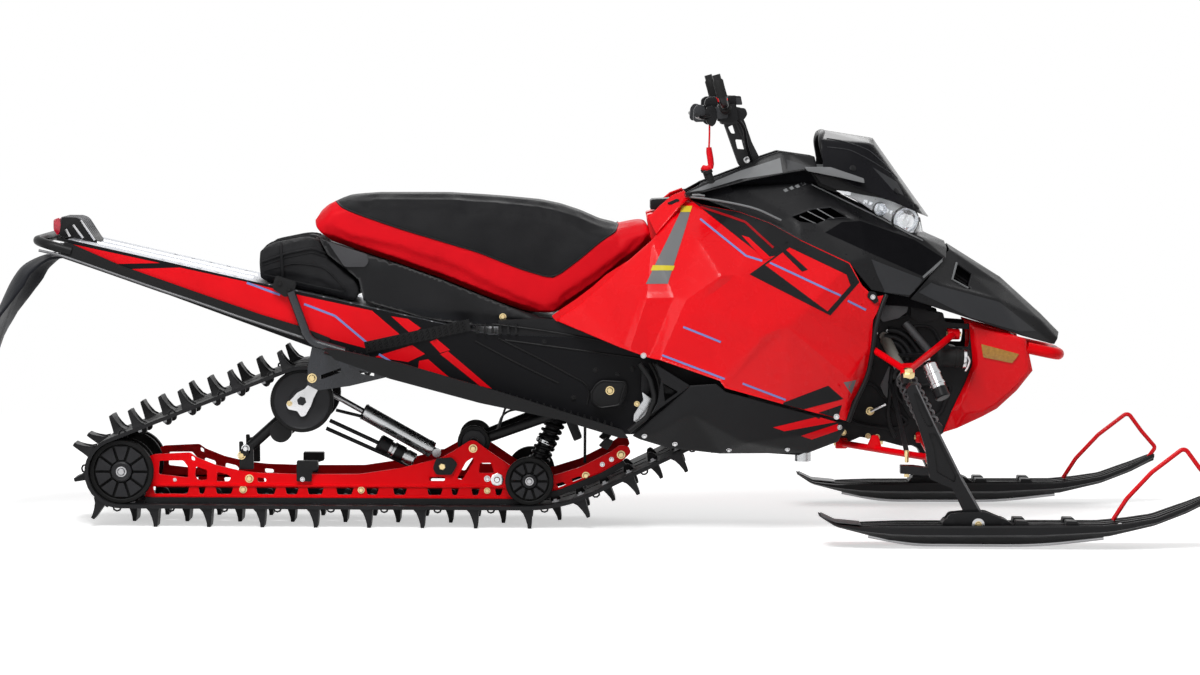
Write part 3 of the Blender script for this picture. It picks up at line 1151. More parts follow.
def inflated(name, outline, half, voxel, pressure, cap):
    """A stuffed piece: the block is remeshed, blown up as cloth and its movement capped."""
    bm = bmesh.new()
    filled_block(bm, outline, half)
    mesh = bpy.data.meshes.new(name)
    bm.to_mesh(mesh)
    bm.free()
    piece = bpy.data.objects.new(name, mesh)
    bpy.context.scene.collection.objects.link(piece)
    bpy.context.view_layer.objects.active = piece
    remesh = piece.modifiers.new("remesh", "REMESH")
    remesh.mode = "VOXEL"
    remesh.voxel_size = voxel
    bpy.ops.object.modifier_apply(modifier=remesh.name)
    start = [v.co.copy() for v in piece.data.vertices]
    cloth = piece.modifiers.new("cloth", "CLOTH")
    stuff = cloth.settings
    stuff.quality, stuff.mass = 4, 0.3
    stuff.use_pressure, stuff.uniform_pressure_force = True, pressure
    stuff.effector_weights.gravity = 0.0
    stuff.tension_stiffness, stuff.compression_stiffness = 40, 40
    stuff.shear_stiffness, stuff.bending_stiffness = 15, 4
    cloth.point_cache.frame_start, cloth.point_cache.frame_end = 1, CLOTH_FRAMES
    scene = bpy.context.scene
    for frame_number in range(1, CLOTH_FRAMES + 1):
        scene.frame_set(frame_number)
    moved = piece.evaluated_get(bpy.context.evaluated_depsgraph_get())
    places = [v.co.copy() for v in moved.data.vertices]
    scene.frame_set(1)
    piece.modifiers.remove(cloth)
    for vert, before, after in zip(piece.data.vertices, start, places):
        shift = after - before
        if shift.length > cap:
            shift = shift.normalized() * cap
        vert.co = before + shift
    return piece


def covered(piece, cover, stands_for, softness):
    """Gives a stuffed piece its cover, and gives back its surface for the seams."""
    piece.data.materials.append(cover)
    for polygon in piece.data.polygons:
        polygon.use_smooth = True
    piece.modifiers.new("smooth", "SMOOTH").iterations = softness
    rounder = piece.modifiers.new("finer", "SUBSURF")
    rounder.levels = rounder.render_levels = 1
    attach(piece, "chassis")
    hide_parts(stands_for)
    bpy.context.view_layer.update()
    return BVHTree.FromObject(piece, bpy.context.evaluated_depsgraph_get())


def onto(surface, x, z, beside=None):
    """Where a line from the right meets a surface and which way it faces, or the nearest place beside it."""
    hit, normal, _, _ = surface.ray_cast(Vector((x, -1, z)), Vector((0, 1, 0)))
    if hit is None and beside:
        hit, normal, _, _ = surface.find_nearest(Vector((x, -beside, z)))
    if hit is not None and normal.y > 0:
        normal = -normal
    return hit, normal


def seam(bm, surface, points, r, material=0):
    """A raised seam along side-view points, dropped onto a surface from the right."""
    line = []
    route = eased(at_side(points, 0), cut=0.3, steps=3)
    fine = []
    for a, b in zip(route[:-1], route[1:]):
        count = max(1, int((b - a).length / 0.008))
        fine += [a.lerp(b, k / count) for k in range(count)]
    fine.append(route[-1])
    for p in fine:
        hit, normal = onto(surface, p.x, p.z)
        if hit is not None:
            line.append(hit + normal * r * SEAM_SHOWS)
    if len(line) > 2:
        sweep_round(bm, line, r, 8, material)


bag = inflated("bag_body", BAG_SIDE, BAG_HALF, 0.005, 4.0, 0.007)
surface = covered(bag, bag_cloth, "storage_bag", 4)
# Its lid's piping and zip, the pocket's seam and a strap down each side: points and radius
BAG_SEAMS = [([(-0.868, 0.724), (-0.800, 0.748), (-0.730, 0.762), (-0.698, 0.748)], 0.0035),
             ([(-0.868, 0.713), (-0.800, 0.737), (-0.730, 0.751), (-0.692, 0.735)], 0.0016),
             ([(-0.862, 0.690), (-0.740, 0.662), (-0.630, 0.640), (-0.700, 0.712), (-0.780, 0.722),
               (-0.862, 0.700)], 0.0022), ([(-0.818, 0.772), (-0.812, 0.700), (-0.812, 0.672)], 0.0045)]
bm = bmesh.new()
for points, r in BAG_SEAMS:
    seam(bm, surface, points, r)
# Three raised seams along its top
for out in (-0.10, 0.0, 0.10):
    line = []
    for k in range(13):
        hit, normal, _, _ = surface.ray_cast(Vector((-0.87 + 0.012 * k, out, 1.2)), Vector((0, 0, -1)))
        if hit is not None:
            line.append(hit + normal * 0.001)
    if len(line) > 2:
        sweep_round(bm, line, 0.0028, 8)
mirrored(bm)
finished(bm, "bag_seams", [bag_cloth])

# ---- Seat base
# A black moulded plastic base in flat facets closes the gap between the seat and the tunnel. Its upper rear
# facet is a lighter cap, and one bolt holds it at the front.
BASE_SIDE = [(-0.715, 0.791), (-0.698, 0.760), (-0.690, 0.745), (-0.606, 0.678), (-0.592, 0.620),
             (-0.492, 0.592), (-0.438, 0.576), (-0.384, 0.566), (-0.302, 0.556), (-0.057, 0.550),
             (0.060, 0.600), (0.140, 0.700), (0.051, 0.664), (-0.077, 0.573), (-0.112, 0.578),
             (-0.194, 0.605), (-0.276, 0.637), (-0.385, 0.680), (-0.494, 0.718), (-0.603, 0.753),
             (-0.685, 0.782)]
BASE_CREASE = [(-0.702, 0.786), (-0.656, 0.757), (-0.575, 0.709), (-0.493, 0.636), (-0.438, 0.603),
               (-0.275, 0.594), (-0.120, 0.568)]
CAP_FACET = [(-0.690, 0.780), (-0.583, 0.747), (-0.578, 0.725), (-0.588, 0.712), (-0.643, 0.712)]
panel_black = moulded("panel black plastic", (0.008, 0.008, 0.009), rough=0.36, mottle=0.15, grain=1500,
                      depth=0.00025)
cap_grey = moulded("cap grey plastic", (0.060, 0.060, 0.064), rough=0.42, mottle=0.12, grain=1500,
                   depth=0.00025)


def sheet_mesh(bm, corners, outline, creases=(), longest=0.014, passes=2, holes=()):
    """A moulded sheet: named corners (x, out, z) triangulated inside their outline, refined and softened."""
    own_layer(bm)
    names = list(corners)
    flat = [Vector((corners[n][0], corners[n][2])) for n in names]
    edges = []
    for line, closed in [(outline, True)] + [(c, False) for c in creases] + [(h, True) for h in holes]:
        index = [names.index(n) for n in line]
        edges += list(zip(index[:-1], index[1:])) + ([(index[-1], index[0])] if closed else [])
    points, _, faces, origin, _, _ = geometry.delaunay_2d_cdt(flat, edges, [], 0, 1e-6)
    rings = [[flat[names.index(n)] for n in ring] for ring in [outline] + list(holes)]
    verts = [bm.verts.new(Vector((p.x, -corners[names[source[0]]][1], p.y))) for p,
             source in zip(points, origin)]
    made = []
    for face in faces:
        middle = sum((points[i] for i in face), Vector((0, 0))) / 3
        if inside(middle, rings[0]) and not any(inside(middle, ring) for ring in rings[1:]):
            made.append(bm.faces.new([verts[i] for i in face]))
    bmesh.ops.delete(bm, geom=[v for v in verts if not v.link_faces], context="VERTS")
    refine(bm, made, longest, passes)


def own_layer(bm):
    """Marks the faces being worked on; made before the faces are, since a new layer drops what is held."""
    return bm.faces.layers.int.get("own") or bm.faces.layers.int.new("own")


def refine(bm, faces, longest, passes, material=0):
    """Splits long edges until none is over the limit, then softens the creases between facets."""
    mark = own_layer(bm)
    for face in bm.faces:
        face[mark] = 0
    for face in faces:
        face[mark] = 1
    for _ in range(9):
        edges = {e for f in bm.faces if f[mark] for e in f.edges if e.calc_length() > longest}
        if not edges:
            break
        bmesh.ops.subdivide_edges(bm, edges=list(edges), cuts=1)
        bmesh.ops.triangulate(bm, faces=[f for f in bm.faces if f[mark] and len(f.verts) > 3])
    own = [f for f in bm.faces if f[mark]]
    rim = {v for f in own for e in f.edges if len(e.link_faces) == 1 for v in e.verts}
    free = [v for v in {v for f in own for v in f.verts} if v not in rim]
    for _ in range(passes):
        places = {v: sum((e.other_vert(v).co for e in v.link_edges),
                         Vector()) / len(v.link_edges) for v in free}
        for v, place in places.items():
            v.co = v.co.lerp(place, 0.6)
    for face in own:
        face.material_index = material


def walled(piece, thickness, offset=-1.0, edge=0.0012):
    """Gives a moulded sheet its wall, with softened rims."""
    wall = piece.modifiers.new("wall", "SOLIDIFY")
    wall.thickness = thickness
    wall.offset = offset
    wall.use_quality_normals = True
    if edge:
        rim = piece.modifiers.new("rim", "BEVEL")
        rim.width = edge
        rim.segments = 2
        rim.limit_method = "ANGLE"
        rim.angle_limit = math.radians(60)


def face_out(bm):
    """Right-hand sheets face away from the machine's middle."""
    bmesh.ops.recalc_face_normals(bm, faces=bm.faces[:])
    if sum(f.normal.y * f.calc_area() for f in bm.faces) > 0:
        bmesh.ops.reverse_faces(bm, faces=bm.faces[:])


def sheet_pair(name, finish, stands_for, corners, outline, creases, wall, longest=0.014, passes=2,
               holes=(), sharp=38, joined=0.0, edge=0.0012):
    """A moulded sheet and its left twin, joined in the middle if asked; gives back the right one's surface."""
    bm = bmesh.new()
    sheet_mesh(bm, corners, outline, creases, longest, passes, holes)
    face_out(bm)
    surface = BVHTree.FromBMesh(bm)
    mirrored(bm)
    if joined:
        bmesh.ops.remove_doubles(bm, verts=bm.verts[:], dist=joined)
    walled(finished(bm, name, [finish], stands_for=stands_for, sharp=sharp, outward=False),
           wall, edge=edge)
    return surface


def numbered(letter, points, out):
    """Corners of a sheet at one distance out, named by a letter and a number."""
    return {f"{letter}{i}": (x, out, z) for i, (x, z) in enumerate(points)}


rim = {name: (x, 0.166 if z > 0.58 else out, z) for name,
       (x, out, z) in numbered("o", BASE_SIDE, 0.160).items()}
crease = numbered("c", BASE_CREASE, 0.1735)
sheet_pair("seat_base_sides", panel_black, ["seat_base"], rim | crease, list(rim),
           [list(crease)[1:]], 0.006)
bm = bmesh.new()
slab(bm, CAP_FACET, 0.168, 0.176, radius=0.005, edge=0.002, material=1)
screw(bm, (-0.213, -0.172, 0.578), material=2, scale=1.0)
mirrored(bm)
core = [(-0.700, 0.770), (-0.600, 0.668), (-0.586, 0.612), (-0.302, 0.552), (-0.057, 0.546), (0.055, 0.596),
        (0.130, 0.694), (0.051, 0.660), (-0.077, 0.570), (-0.194, 0.600), (-0.385, 0.674), (-0.603, 0.747)]
slab(bm, core, -0.158, 0.158)
finished(bm, "seat_base_core", [panel_black, cap_grey, gold_zinc])

# ---- Seat
# A foam cushion under a stretched two-tone vinyl cover, black on top and red down the sides, sewn along a
# piped seam. It is crowned: narrower at the top, fuller at the middle of each side.
SEAT_SIDE = [(-0.733, 0.833), (-0.727, 0.816), (-0.715, 0.800), (-0.685, 0.789), (-0.603, 0.760),
             (-0.494, 0.725), (-0.385, 0.687), (-0.276, 0.644), (-0.194, 0.612), (-0.112, 0.586),
             (-0.079, 0.582), (0.048, 0.671), (0.154, 0.762), (0.196, 0.810), (0.178, 0.836),
             (0.100, 0.820), (0.050, 0.831), (-0.005, 0.855), (-0.060, 0.873), (-0.116, 0.884),
             (-0.226, 0.894), (-0.364, 0.902), (-0.557, 0.901), (-0.640, 0.895), (-0.684, 0.884)]
SEAT_HALF = 0.150
# Where black meets red along the side, from the rear to the front
COLOUR_LINE = [(-0.677, 0.895), (-0.653, 0.873), (-0.604, 0.854), (-0.495, 0.817), (-0.386, 0.785),
               (-0.277, 0.753), (-0.222, 0.731), (-0.167, 0.710), (-0.077, 0.683), (-0.004, 0.738),
               (0.050, 0.784), (0.091, 0.809), (0.099, 0.828)]
# The box that the line is measured in, along and up
LINE_X = (-0.80, 0.25)
LINE_Z = (0.50, 1.00)
seat_vinyl, net, shader = tree("seat vinyl")
parts, line, above, choice = (node(net, kind) for kind in ("SeparateXYZ", "FloatCurve", "Math", "Mix"))
along = node(net, "MapRange", From_Min=LINE_X[0], From_Max=LINE_X[1])
height = node(net, "MapRange", From_Min=LINE_Z[0], From_Max=LINE_Z[1])
curve = line.mapping.curves[0]
marks = [((x - LINE_X[0]) / (LINE_X[1] - LINE_X[0]), (z - LINE_Z[0]) / (LINE_Z[1] - LINE_Z[0])) for x,
         z in COLOUR_LINE]
marks = [(0.0, 1.0), (marks[0][0] - 0.004, 1.0)] + marks + [(marks[-1][0] + 0.004, 1.0), (1.0, 1.0)]
curve.points[0].location = marks[0]
curve.points[1].location = marks[-1]
for mark in marks[1:-1]:
    curve.points.new(*mark)
for point in curve.points:
    point.handle_type = "VECTOR"
line.mapping.update()
above.operation = "GREATER_THAN"
choice.data_type = "RGBA"
cloud = noise(net, 8.0)
wire(net, (node(net, "TexCoord").outputs["Object"], parts.inputs["Vector"]),
     (parts.outputs["X"], along.inputs["Value"]), (parts.outputs["Z"], height.inputs["Value"]),
     (along.outputs["Result"], line.inputs["Value"]), (height.outputs["Result"], above.inputs[0]),
     (line.outputs["Value"], above.inputs[1]), (above.outputs[0], choice.inputs["Factor"]),
     (blend_colours(net, cloud, (0.66, 0.003, 0.010), (0.78, 0.004, 0.012)), choice.inputs[6]),
     (blend_colours(net, cloud, (0.005, 0.005, 0.006), (0.009, 0.009, 0.010)), choice.inputs[7]),
     (choice.outputs[2], shader.inputs["Base Color"]),
     (spread(net, noise(net, 20.0), 0.42, 0.56), shader.inputs["Roughness"]))
shader.inputs["Specular IOR Level"].default_value = 0.10
pebbled(net, shader, 700.0, 0.0004)


def between(table, x):
    """Value at a place in a table of (place, value)."""
    for (x0, v0), (x1, v1) in zip(table[:-1], table[1:]):
        if x0 <= x <= x1:
            return v0 + (v1 - v0) * (x - x0) / (x1 - x0)
    return table[0][1] if x < table[0][0] else table[-1][1]


# The cushion narrows above the colour line, most of all at its top
SEAT_TOP = sorted(SEAT_SIDE[13:] + [SEAT_SIDE[0]])
CROWN_IN = 0.30
CROWN_LEAST = 0.03
seat = inflated("seat_cushion", SEAT_SIDE, SEAT_HALF, 0.006, 3.0, 0.008)
for vert in seat.data.vertices:
    top = between(SEAT_TOP, vert.co.x)
    low = top - CROWN_LEAST
    if COLOUR_LINE[0][0] <= vert.co.x <= COLOUR_LINE[-1][0]:
        low = min(low, between(COLOUR_LINE, vert.co.x))
    share = (vert.co.z - low) / max(CROWN_LEAST, top + 0.006 - low)
    vert.co.y *= 1 - CROWN_IN * max(0.0, min(1.0, share)) ** 1.4
surface = covered(seat, seat_vinyl, "seat", 5)
bm = bmesh.new()
seam(bm, surface, [(x, z - 0.001) for x, z in COLOUR_LINE], 0.0022)
mirrored(bm)
finished(bm, "seat_piping", [panel_black])

# ---- Side panels
# Injection-moulded polypropylene in big facets, painted red, clipped to the frame along the seat, the boards
# and the hood. Each is one sheet 4.5 mm thick with crisp folds, a red knee cover and vinyl graphics.
SIDE = {"tip": (0.279, 0.125, 0.905), "brow1": (0.327, 0.155, 0.885), "brow2": (0.429, 0.185, 0.867),
        "brow3": (0.510, 0.205, 0.838), "brow4": (0.591, 0.222, 0.794), "brow5": (0.725, 0.238, 0.733),
        "brow6": (0.758, 0.236, 0.673), "brow7": (0.792, 0.230, 0.641), "horn": (0.825, 0.220, 0.646),
        "front1": (0.789, 0.238, 0.579), "front2": (0.784, 0.246, 0.512),
        "front3": (0.770, 0.256, 0.423), "front4": (0.732, 0.266, 0.359), "toe": (0.716, 0.272, 0.308),
        "low5": (0.563, 0.308, 0.350), "low4": (0.387, 0.330, 0.400), "low3": (0.373, 0.332, 0.419),
        "low2": (0.212, 0.331, 0.474), "low1": (0.183, 0.314, 0.479), "low0": (0.130, 0.322, 0.498),
        "low back": (0.110, 0.311, 0.505), "corner": (-0.068, 0.207, 0.572),
        "seam1": (-0.003, 0.206, 0.616), "seam2": (0.056, 0.206, 0.668), "seam3": (0.123, 0.206, 0.731),
        "seam4": (0.191, 0.204, 0.791), "knee": (0.207, 0.198, 0.812), "shin": (0.234, 0.172, 0.860),
        "collar": (0.314, 0.262, 0.794), "strip1": (0.158, 0.296, 0.638),
        "strip2": (0.177, 0.306, 0.639), "fold1": (0.249, 0.303, 0.641), "fold2": (0.281, 0.319, 0.635),
        "plate1": (0.324, 0.322, 0.635), "crest": (0.374, 0.326, 0.700), "crest2": (0.417, 0.318, 0.703),
        "plate2": (0.492, 0.346, 0.544), "apex": (0.550, 0.338, 0.565), "cheek1": (0.602, 0.326, 0.611),
        "cheek2": (0.749, 0.282, 0.460), "cheek3": (0.728, 0.296, 0.420),
        "cheek4": (0.721, 0.280, 0.368)}
SIDE_RIM = ["tip", "brow1", "brow2", "brow3", "brow4", "brow5", "brow6", "brow7", "horn", "front1",
            "front2", "front3", "front4", "toe", "low5", "low4", "low3", "low2", "low1", "low0",
            "low back", "corner", "seam1", "seam2", "seam3", "seam4", "knee", "shin"]
SIDE_FOLDS = [["strip1", "low back"], ["strip2", "low0"], ["fold1", "low1"], ["fold2", "low2"],
              ["strip1", "strip2", "fold1", "fold2", "plate1", "crest", "crest2", "apex"],
              ["seam4", "collar", "crest"], ["collar", "brow1"], ["strip1", "seam3"],
              ["plate1", "low2"], ["plate1", "plate2", "low3"], ["plate2", "apex"],
              ["crest2", "cheek1", "cheek2", "cheek3", "cheek4"], ["apex", "cheek1"], ["apex", "cheek4"],
              ["apex", "low4"], ["cheek2", "front3"], ["cheek4", "front4"], ["crest2", "brow4"]]
body_red = moulded("body red", (0.80, 0.001, 0.006), rough=0.26, mottle=0.04, grain=90, depth=0.00025,
                   coat=0.14)
side_surface = sheet_pair("side_covers", body_red, ["side_panels"], SIDE, SIDE_RIM,
                          SIDE_FOLDS, 0.0045, longest=0.013, passes=1, sharp=10)
DRAPE_CELL = 0.012


def drape(bm, surface, outline, lift=0.0007, material=0, holes=()):
    """A cut vinyl shape pressed onto a curved panel: each point is dropped onto it from the side."""
    own_layer(bm)
    points, faces = flat_fill([[Vector(p) for p in ring] for ring in [outline] + list(holes)])
    verts = [bm.verts.new((p.x, 0, p.y)) for p in points]
    made = [bm.faces.new([verts[i] for i in face]) for face in faces]
    refine(bm, made, DRAPE_CELL, 0, material)
    mark = own_layer(bm)
    for vert in {v for f in bm.faces if f[mark] for v in f.verts}:
        hit, normal = onto(surface, vert.co.x, vert.co.z, beside=0.25)
        vert.co = hit + normal * lift


GRAPHIC_BLACK = [[(0.300, 0.895), (0.327, 0.884), (0.429, 0.866), (0.510, 0.837), (0.591, 0.793),
                  (0.556, 0.775), (0.521, 0.752), (0.492, 0.748), (0.430, 0.794), (0.375, 0.837),
                  (0.320, 0.880)], [(0.537, 0.357), (0.666, 0.405), (0.708, 0.368), (0.600, 0.341)],
                 [(0.704, 0.352), (0.694, 0.315), (0.640, 0.331)]]
BLACK_RING = [(0.451, 0.704), (0.523, 0.753), (0.552, 0.788), (0.587, 0.794), (0.722, 0.731), (0.751, 0.681),
              (0.670, 0.594)]
RING_WINDOW = [(0.494, 0.728), (0.561, 0.774), (0.715, 0.702), (0.726, 0.673), (0.662, 0.605)]
BLACK_SLIT = [(0.550, 0.769), (0.610, 0.715), (0.594, 0.710), (0.542, 0.761)]
PANEL_LINES = [((0.274, 0.563), (0.375, 0.523)), ((0.218, 0.487), (0.386, 0.424)),
               ((0.434, 0.412), (0.551, 0.367)), ((0.321, 0.848), (0.443, 0.752)),
               ((0.443, 0.752), (0.486, 0.739)), ((0.507, 0.734), (0.699, 0.646)),
               ((0.718, 0.632), (0.769, 0.606))]
LINE_WIDE = 0.0055
LABEL_STRIP = [(0.275, 0.880), (0.299, 0.880), (0.233, 0.676), (0.174, 0.675)]
LABEL_BAND = [(0.193, 0.724), (0.252, 0.724), (0.247, 0.711), (0.187, 0.710)]
RED_TOOTH = [(0.432, 0.805), (0.451, 0.800), (0.510, 0.746), (0.490, 0.742)]
RED_LINE = [(0.322, 0.879), (0.402, 0.854), (0.443, 0.840), (0.478, 0.808), (0.517, 0.773)]
LABEL_HEAD = [(0.272, 0.881), (0.300, 0.881), (0.295, 0.865), (0.268, 0.865)]
GREY_WEDGE = [(0.707, 0.414), (0.742, 0.420), (0.729, 0.381)]
black_vinyl = moulded("black vinyl", (0.007, 0.007, 0.008), rough=0.3, mottle=0.1, grain=500, depth=0.00004)
label_grey = moulded("label grey", (0.16, 0.165, 0.17), rough=0.45, mottle=0.06, grain=500, depth=0.00004)
label_yellow = moulded("label yellow", (0.62, 0.50, 0.03), rough=0.45, grain=500, depth=0.00004)
bm = bmesh.new()
for outline in GRAPHIC_BLACK:
    drape(bm, side_surface, outline)
drape(bm, side_surface, BLACK_RING, holes=[RING_WINDOW])
drape(bm, side_surface, BLACK_SLIT)
for start, end in PANEL_LINES:
    drape(bm, side_surface, line_band(start, end, LINE_WIDE), material=2, lift=0.0008)
for outline, material, lift in ((LABEL_STRIP, 3, 0.0007), (LABEL_BAND, 4, 0.0012), (LABEL_HEAD, 4, 0.0012),
                                (RED_TOOTH, 5, 0.0014)):
    drape(bm, side_surface, outline, lift, material)
for start, end in zip(RED_LINE[:-1], RED_LINE[1:]):
    drape(bm, side_surface, line_band(start, end, 0.006), material=1, lift=0.0016)
drape(bm, side_surface, GREY_WEDGE, material=3)
mirrored(bm)
finished(bm, "side_graphics", [black_vinyl, dark_red_vinyl, blue_vinyl, label_grey, label_yellow,
                               red_vinyl], outward=False)

# Red knee covers over the top corner of the side panels
KNEE = {"a": (0.180, 0.160, 0.851), "b": (0.213, 0.156, 0.884), "c": (0.245, 0.152, 0.911),
        "d": (0.278, 0.134, 0.924), "e": (0.294, 0.150, 0.906), "f": (0.266, 0.182, 0.882),
        "g": (0.215, 0.203, 0.823), "h": (0.201, 0.206, 0.807)}
sheet_pair("knee_covers", body_red, (), KNEE, list(KNEE), [["c", "f"], ["b", "g"]], 0.006,
           longest=0.012)
# A black strip down the side panel's front edge, with a screwed tab at its top; then the panel's screws
EDGE = [(0.825, 0.222, 0.646), (0.806, 0.238, 0.600), (0.793, 0.249, 0.545), (0.788, 0.252, 0.500),
        (0.776, 0.260, 0.430), (0.742, 0.270, 0.362), (0.722, 0.276, 0.306)]
bm = bmesh.new()
sweep_round(bm, eased([(x, -out, z) for x, out, z in EDGE]), 0.0065, 10)
TAB = [(0.777, 0.657), (0.796, 0.654), (0.804, 0.630), (0.794, 0.622), (0.772, 0.641)]
slab(bm, TAB, 0.228, 0.238, radius=0.004, edge=0.0015)
screw(bm, (0.287, -0.158, 0.912), direction=(0.2, -0.8, 0.5), scale=0.9)
for at, size in (((0.788, -0.238, 0.641), 0.7), ((0.168, -0.331, 0.486), 0.8),
                 ((0.690, -0.283, 0.320), 0.8)):
    screw(bm, at, material=1, scale=size)
# Black step in the top corner, and the red block behind the knee cover that closes it to the seat
slab(bm, [(0.231, 0.890), (0.258, 0.902), (0.266, 0.898), (0.253, 0.882)], 0.150, 0.170, radius=0.003,
     edge=0.001)
slab(bm, [(0.177, 0.857), (0.236, 0.872), (0.246, 0.800), (0.222, 0.778), (0.190, 0.786),
          (0.184, 0.815)], 0.060, 0.150, radius=0.004, edge=0.003, material=2)
# Red lip along the seat's lower edge, and the black sill below it
slab(bm, [(-0.080, 0.583), (-0.066, 0.567), (-0.010, 0.585), (0.060, 0.650), (0.125, 0.712),
          (0.124, 0.733), (0.066, 0.695), (0.029, 0.662), (-0.017, 0.627), (-0.057, 0.600)], 0.196,
     0.204, radius=0.003, edge=0.002, material=2)
slab(bm, [(-0.225, 0.571), (-0.105, 0.576), (-0.030, 0.566), (0.045, 0.533), (0.045, 0.512), (-0.057, 0.522),
          (-0.225, 0.530)], 0.190, 0.200, radius=0.004, edge=0.002)
mirrored(bm)
# Black bridge between the knee covers, behind the console
slab(bm, [(0.188, 0.892), (0.193, 0.896), (0.243, 0.899), (0.262, 0.886), (0.205, 0.868),
          (0.188, 0.868)], -0.060, 0.060, radius=0.004, edge=0.003)
finished(bm, "side_edges", [panel_black, bright_zinc, body_red])

# ---- Lower panels
# Black belly covers below the fold, the same moulding unpainted, with two slanted red stripes at the nose
# end. A black pan closes the underside between them.
LOWER = {"back": (0.141, 0.300, 0.266), "back top": (0.214, 0.306, 0.332),
         "shoulder": (0.293, 0.320, 0.405), "notch": (0.363, 0.326, 0.410), "mid": (0.390, 0.328, 0.388),
         "toe": (0.706, 0.270, 0.302), "front": (0.714, 0.262, 0.282),
         "front low": (0.697, 0.240, 0.248), "keel front": (0.617, 0.232, 0.216),
         "keel": (0.378, 0.232, 0.213), "keel back": (0.237, 0.255, 0.230),
         "heel": (0.160, 0.290, 0.256), "crease a": (0.294, 0.322, 0.334),
         "crease b": (0.445, 0.290, 0.250), "step": (0.201, 0.300, 0.278)}
LOWER_RIM = ["back", "back top", "shoulder", "notch", "mid", "toe", "front", "front low", "keel front",
             "keel", "keel back", "heel"]
LOWER_FOLDS = [["back top", "step", "keel back"], ["shoulder", "crease a", "crease b", "front"],
               ["crease a", "step"], ["crease b", "keel"], ["crease b", "front low"]]
low_surface = sheet_pair("lower_covers", panel_black, ["lower_panels"], LOWER, LOWER_RIM,
                         LOWER_FOLDS, 0.0045, longest=0.013, sharp=50)
LOW_RED = [[(0.519, 0.291), (0.549, 0.280), (0.690, 0.305), (0.640, 0.320)],
           [(0.595, 0.267), (0.625, 0.256), (0.695, 0.281), (0.694, 0.300)]]
bm = bmesh.new()
for outline in LOW_RED:
    drape(bm, low_surface, outline)
mirrored(bm)
finished(bm, "lower_graphics", [red_vinyl], outward=False)
bm = bmesh.new()
for x, z in ((0.402, 0.226), (0.560, 0.228), (0.255, 0.242), (0.172, 0.266), (0.700, 0.290)):
    hit, normal = onto(low_surface, x, z)
    if hit is not None:
        screw(bm, hit, direction=normal, scale=0.75)
mirrored(bm)
finished(bm, "lower_screws", [bright_zinc])
# Open fairing over the footwell's front corner, with the cast drive housing and its hoses showing behind it
bm = bmesh.new()
slab(bm, [(0.199, 0.463), (0.293, 0.405), (0.276, 0.390), (0.192, 0.328), (0.206, 0.356),
          (0.216, 0.420)], 0.300, 0.322, [[(0.220, 0.412), (0.262, 0.388), (0.226, 0.362)]],
     radius=0.003, cut_radius=0.003, edge=0.003)
slab(bm, [(0.165, 0.452), (0.184, 0.441), (0.190, 0.400), (0.182, 0.373), (0.163, 0.381)], 0.228, 0.244,
     radius=0.006, edge=0.003)
slab(bm, [(0.216, 0.412), (0.252, 0.388), (0.246, 0.380), (0.221, 0.384)], 0.270, 0.296, radius=0.003,
     edge=0.003)
slab(bm, [(0.165, 0.383), (0.180, 0.372), (0.195, 0.361), (0.192, 0.340), (0.187, 0.334), (0.160, 0.298),
          (0.143, 0.303), (0.144, 0.321), (0.160, 0.348), (0.170, 0.361)], 0.215, 0.268, radius=0.004,
     edge=0.006, material=1)
slab(bm, [(0.158, 0.340), (0.176, 0.330), (0.160, 0.306), (0.150, 0.308)], 0.268, 0.274, radius=0.003,
     edge=0.002, material=1)
for k in range(3):
    sweep_round(bm, eased([(0.186 + 0.010 * k, -0.272, 0.462), (0.206 + 0.008 * k, -0.276, 0.426),
                           (0.215 + 0.006 * k, -0.276, 0.389), (0.212 + 0.003 * k, -0.272, 0.350),
                           (0.190, -0.262, 0.318)]), 0.0042, 8, 2)
screw(bm, (0.152, -0.262, 0.350), material=3, scale=0.8)
mirrored(bm)
finished(bm, "footwell_fairings", [panel_black, shock_silver, rubber_black, gold_zinc])
recoat(panel_black, "belly_pan")

# ---- Hood
# Black moulded covers with hard creases, a matte panel on each flank, a slatted air outlet and four small
# slots ahead of the console. Each half is one moulding, screwed to the frame.
HOOD = {"ridge a": (0.600, 0.0, 0.968), "ridge b": (0.760, 0.0, 0.890), "ridge c": (1.000, 0.0, 0.785),
        "back": (0.420, 0.120, 0.935), "lamp back": (0.632, 0.120, 0.943),
        "lamp mid": (0.814, 0.126, 0.852), "lamp front": (0.924, 0.130, 0.800),
        "edge": (1.002, 0.060, 0.768), "brow a": (0.305, 0.118, 0.911), "brow b": (0.429, 0.181, 0.866),
        "brow c": (0.510, 0.201, 0.837), "brow d": (0.591, 0.218, 0.793),
        "brow e": (0.725, 0.234, 0.732), "cheek": (0.785, 0.226, 0.660),
        "cheek low": (0.888, 0.205, 0.640), "cheek front": (0.934, 0.185, 0.688),
        "inset front": (0.996, 0.110, 0.742), "inset a": (0.654, 0.196, 0.816),
        "inset b": (0.703, 0.178, 0.845), "inset c": (0.757, 0.170, 0.848),
        "inset d": (0.905, 0.138, 0.797), "bar a": (0.776, 0.222, 0.745), "bar b": (0.923, 0.188, 0.694),
        "vent a": (0.570, 0.184, 0.855), "vent b": (0.622, 0.170, 0.874),
        "vent c": (0.676, 0.160, 0.880), "vent d": (0.720, 0.166, 0.853),
        "vent e": (0.668, 0.179, 0.849), "vent f": (0.638, 0.187, 0.837),
        "vent g": (0.592, 0.192, 0.842)}
HOOD_RIM = ["ridge a", "ridge b", "ridge c", "edge", "inset front", "cheek front", "cheek low", "cheek",
            "brow e", "brow d", "brow c", "brow b", "brow a", "back"]
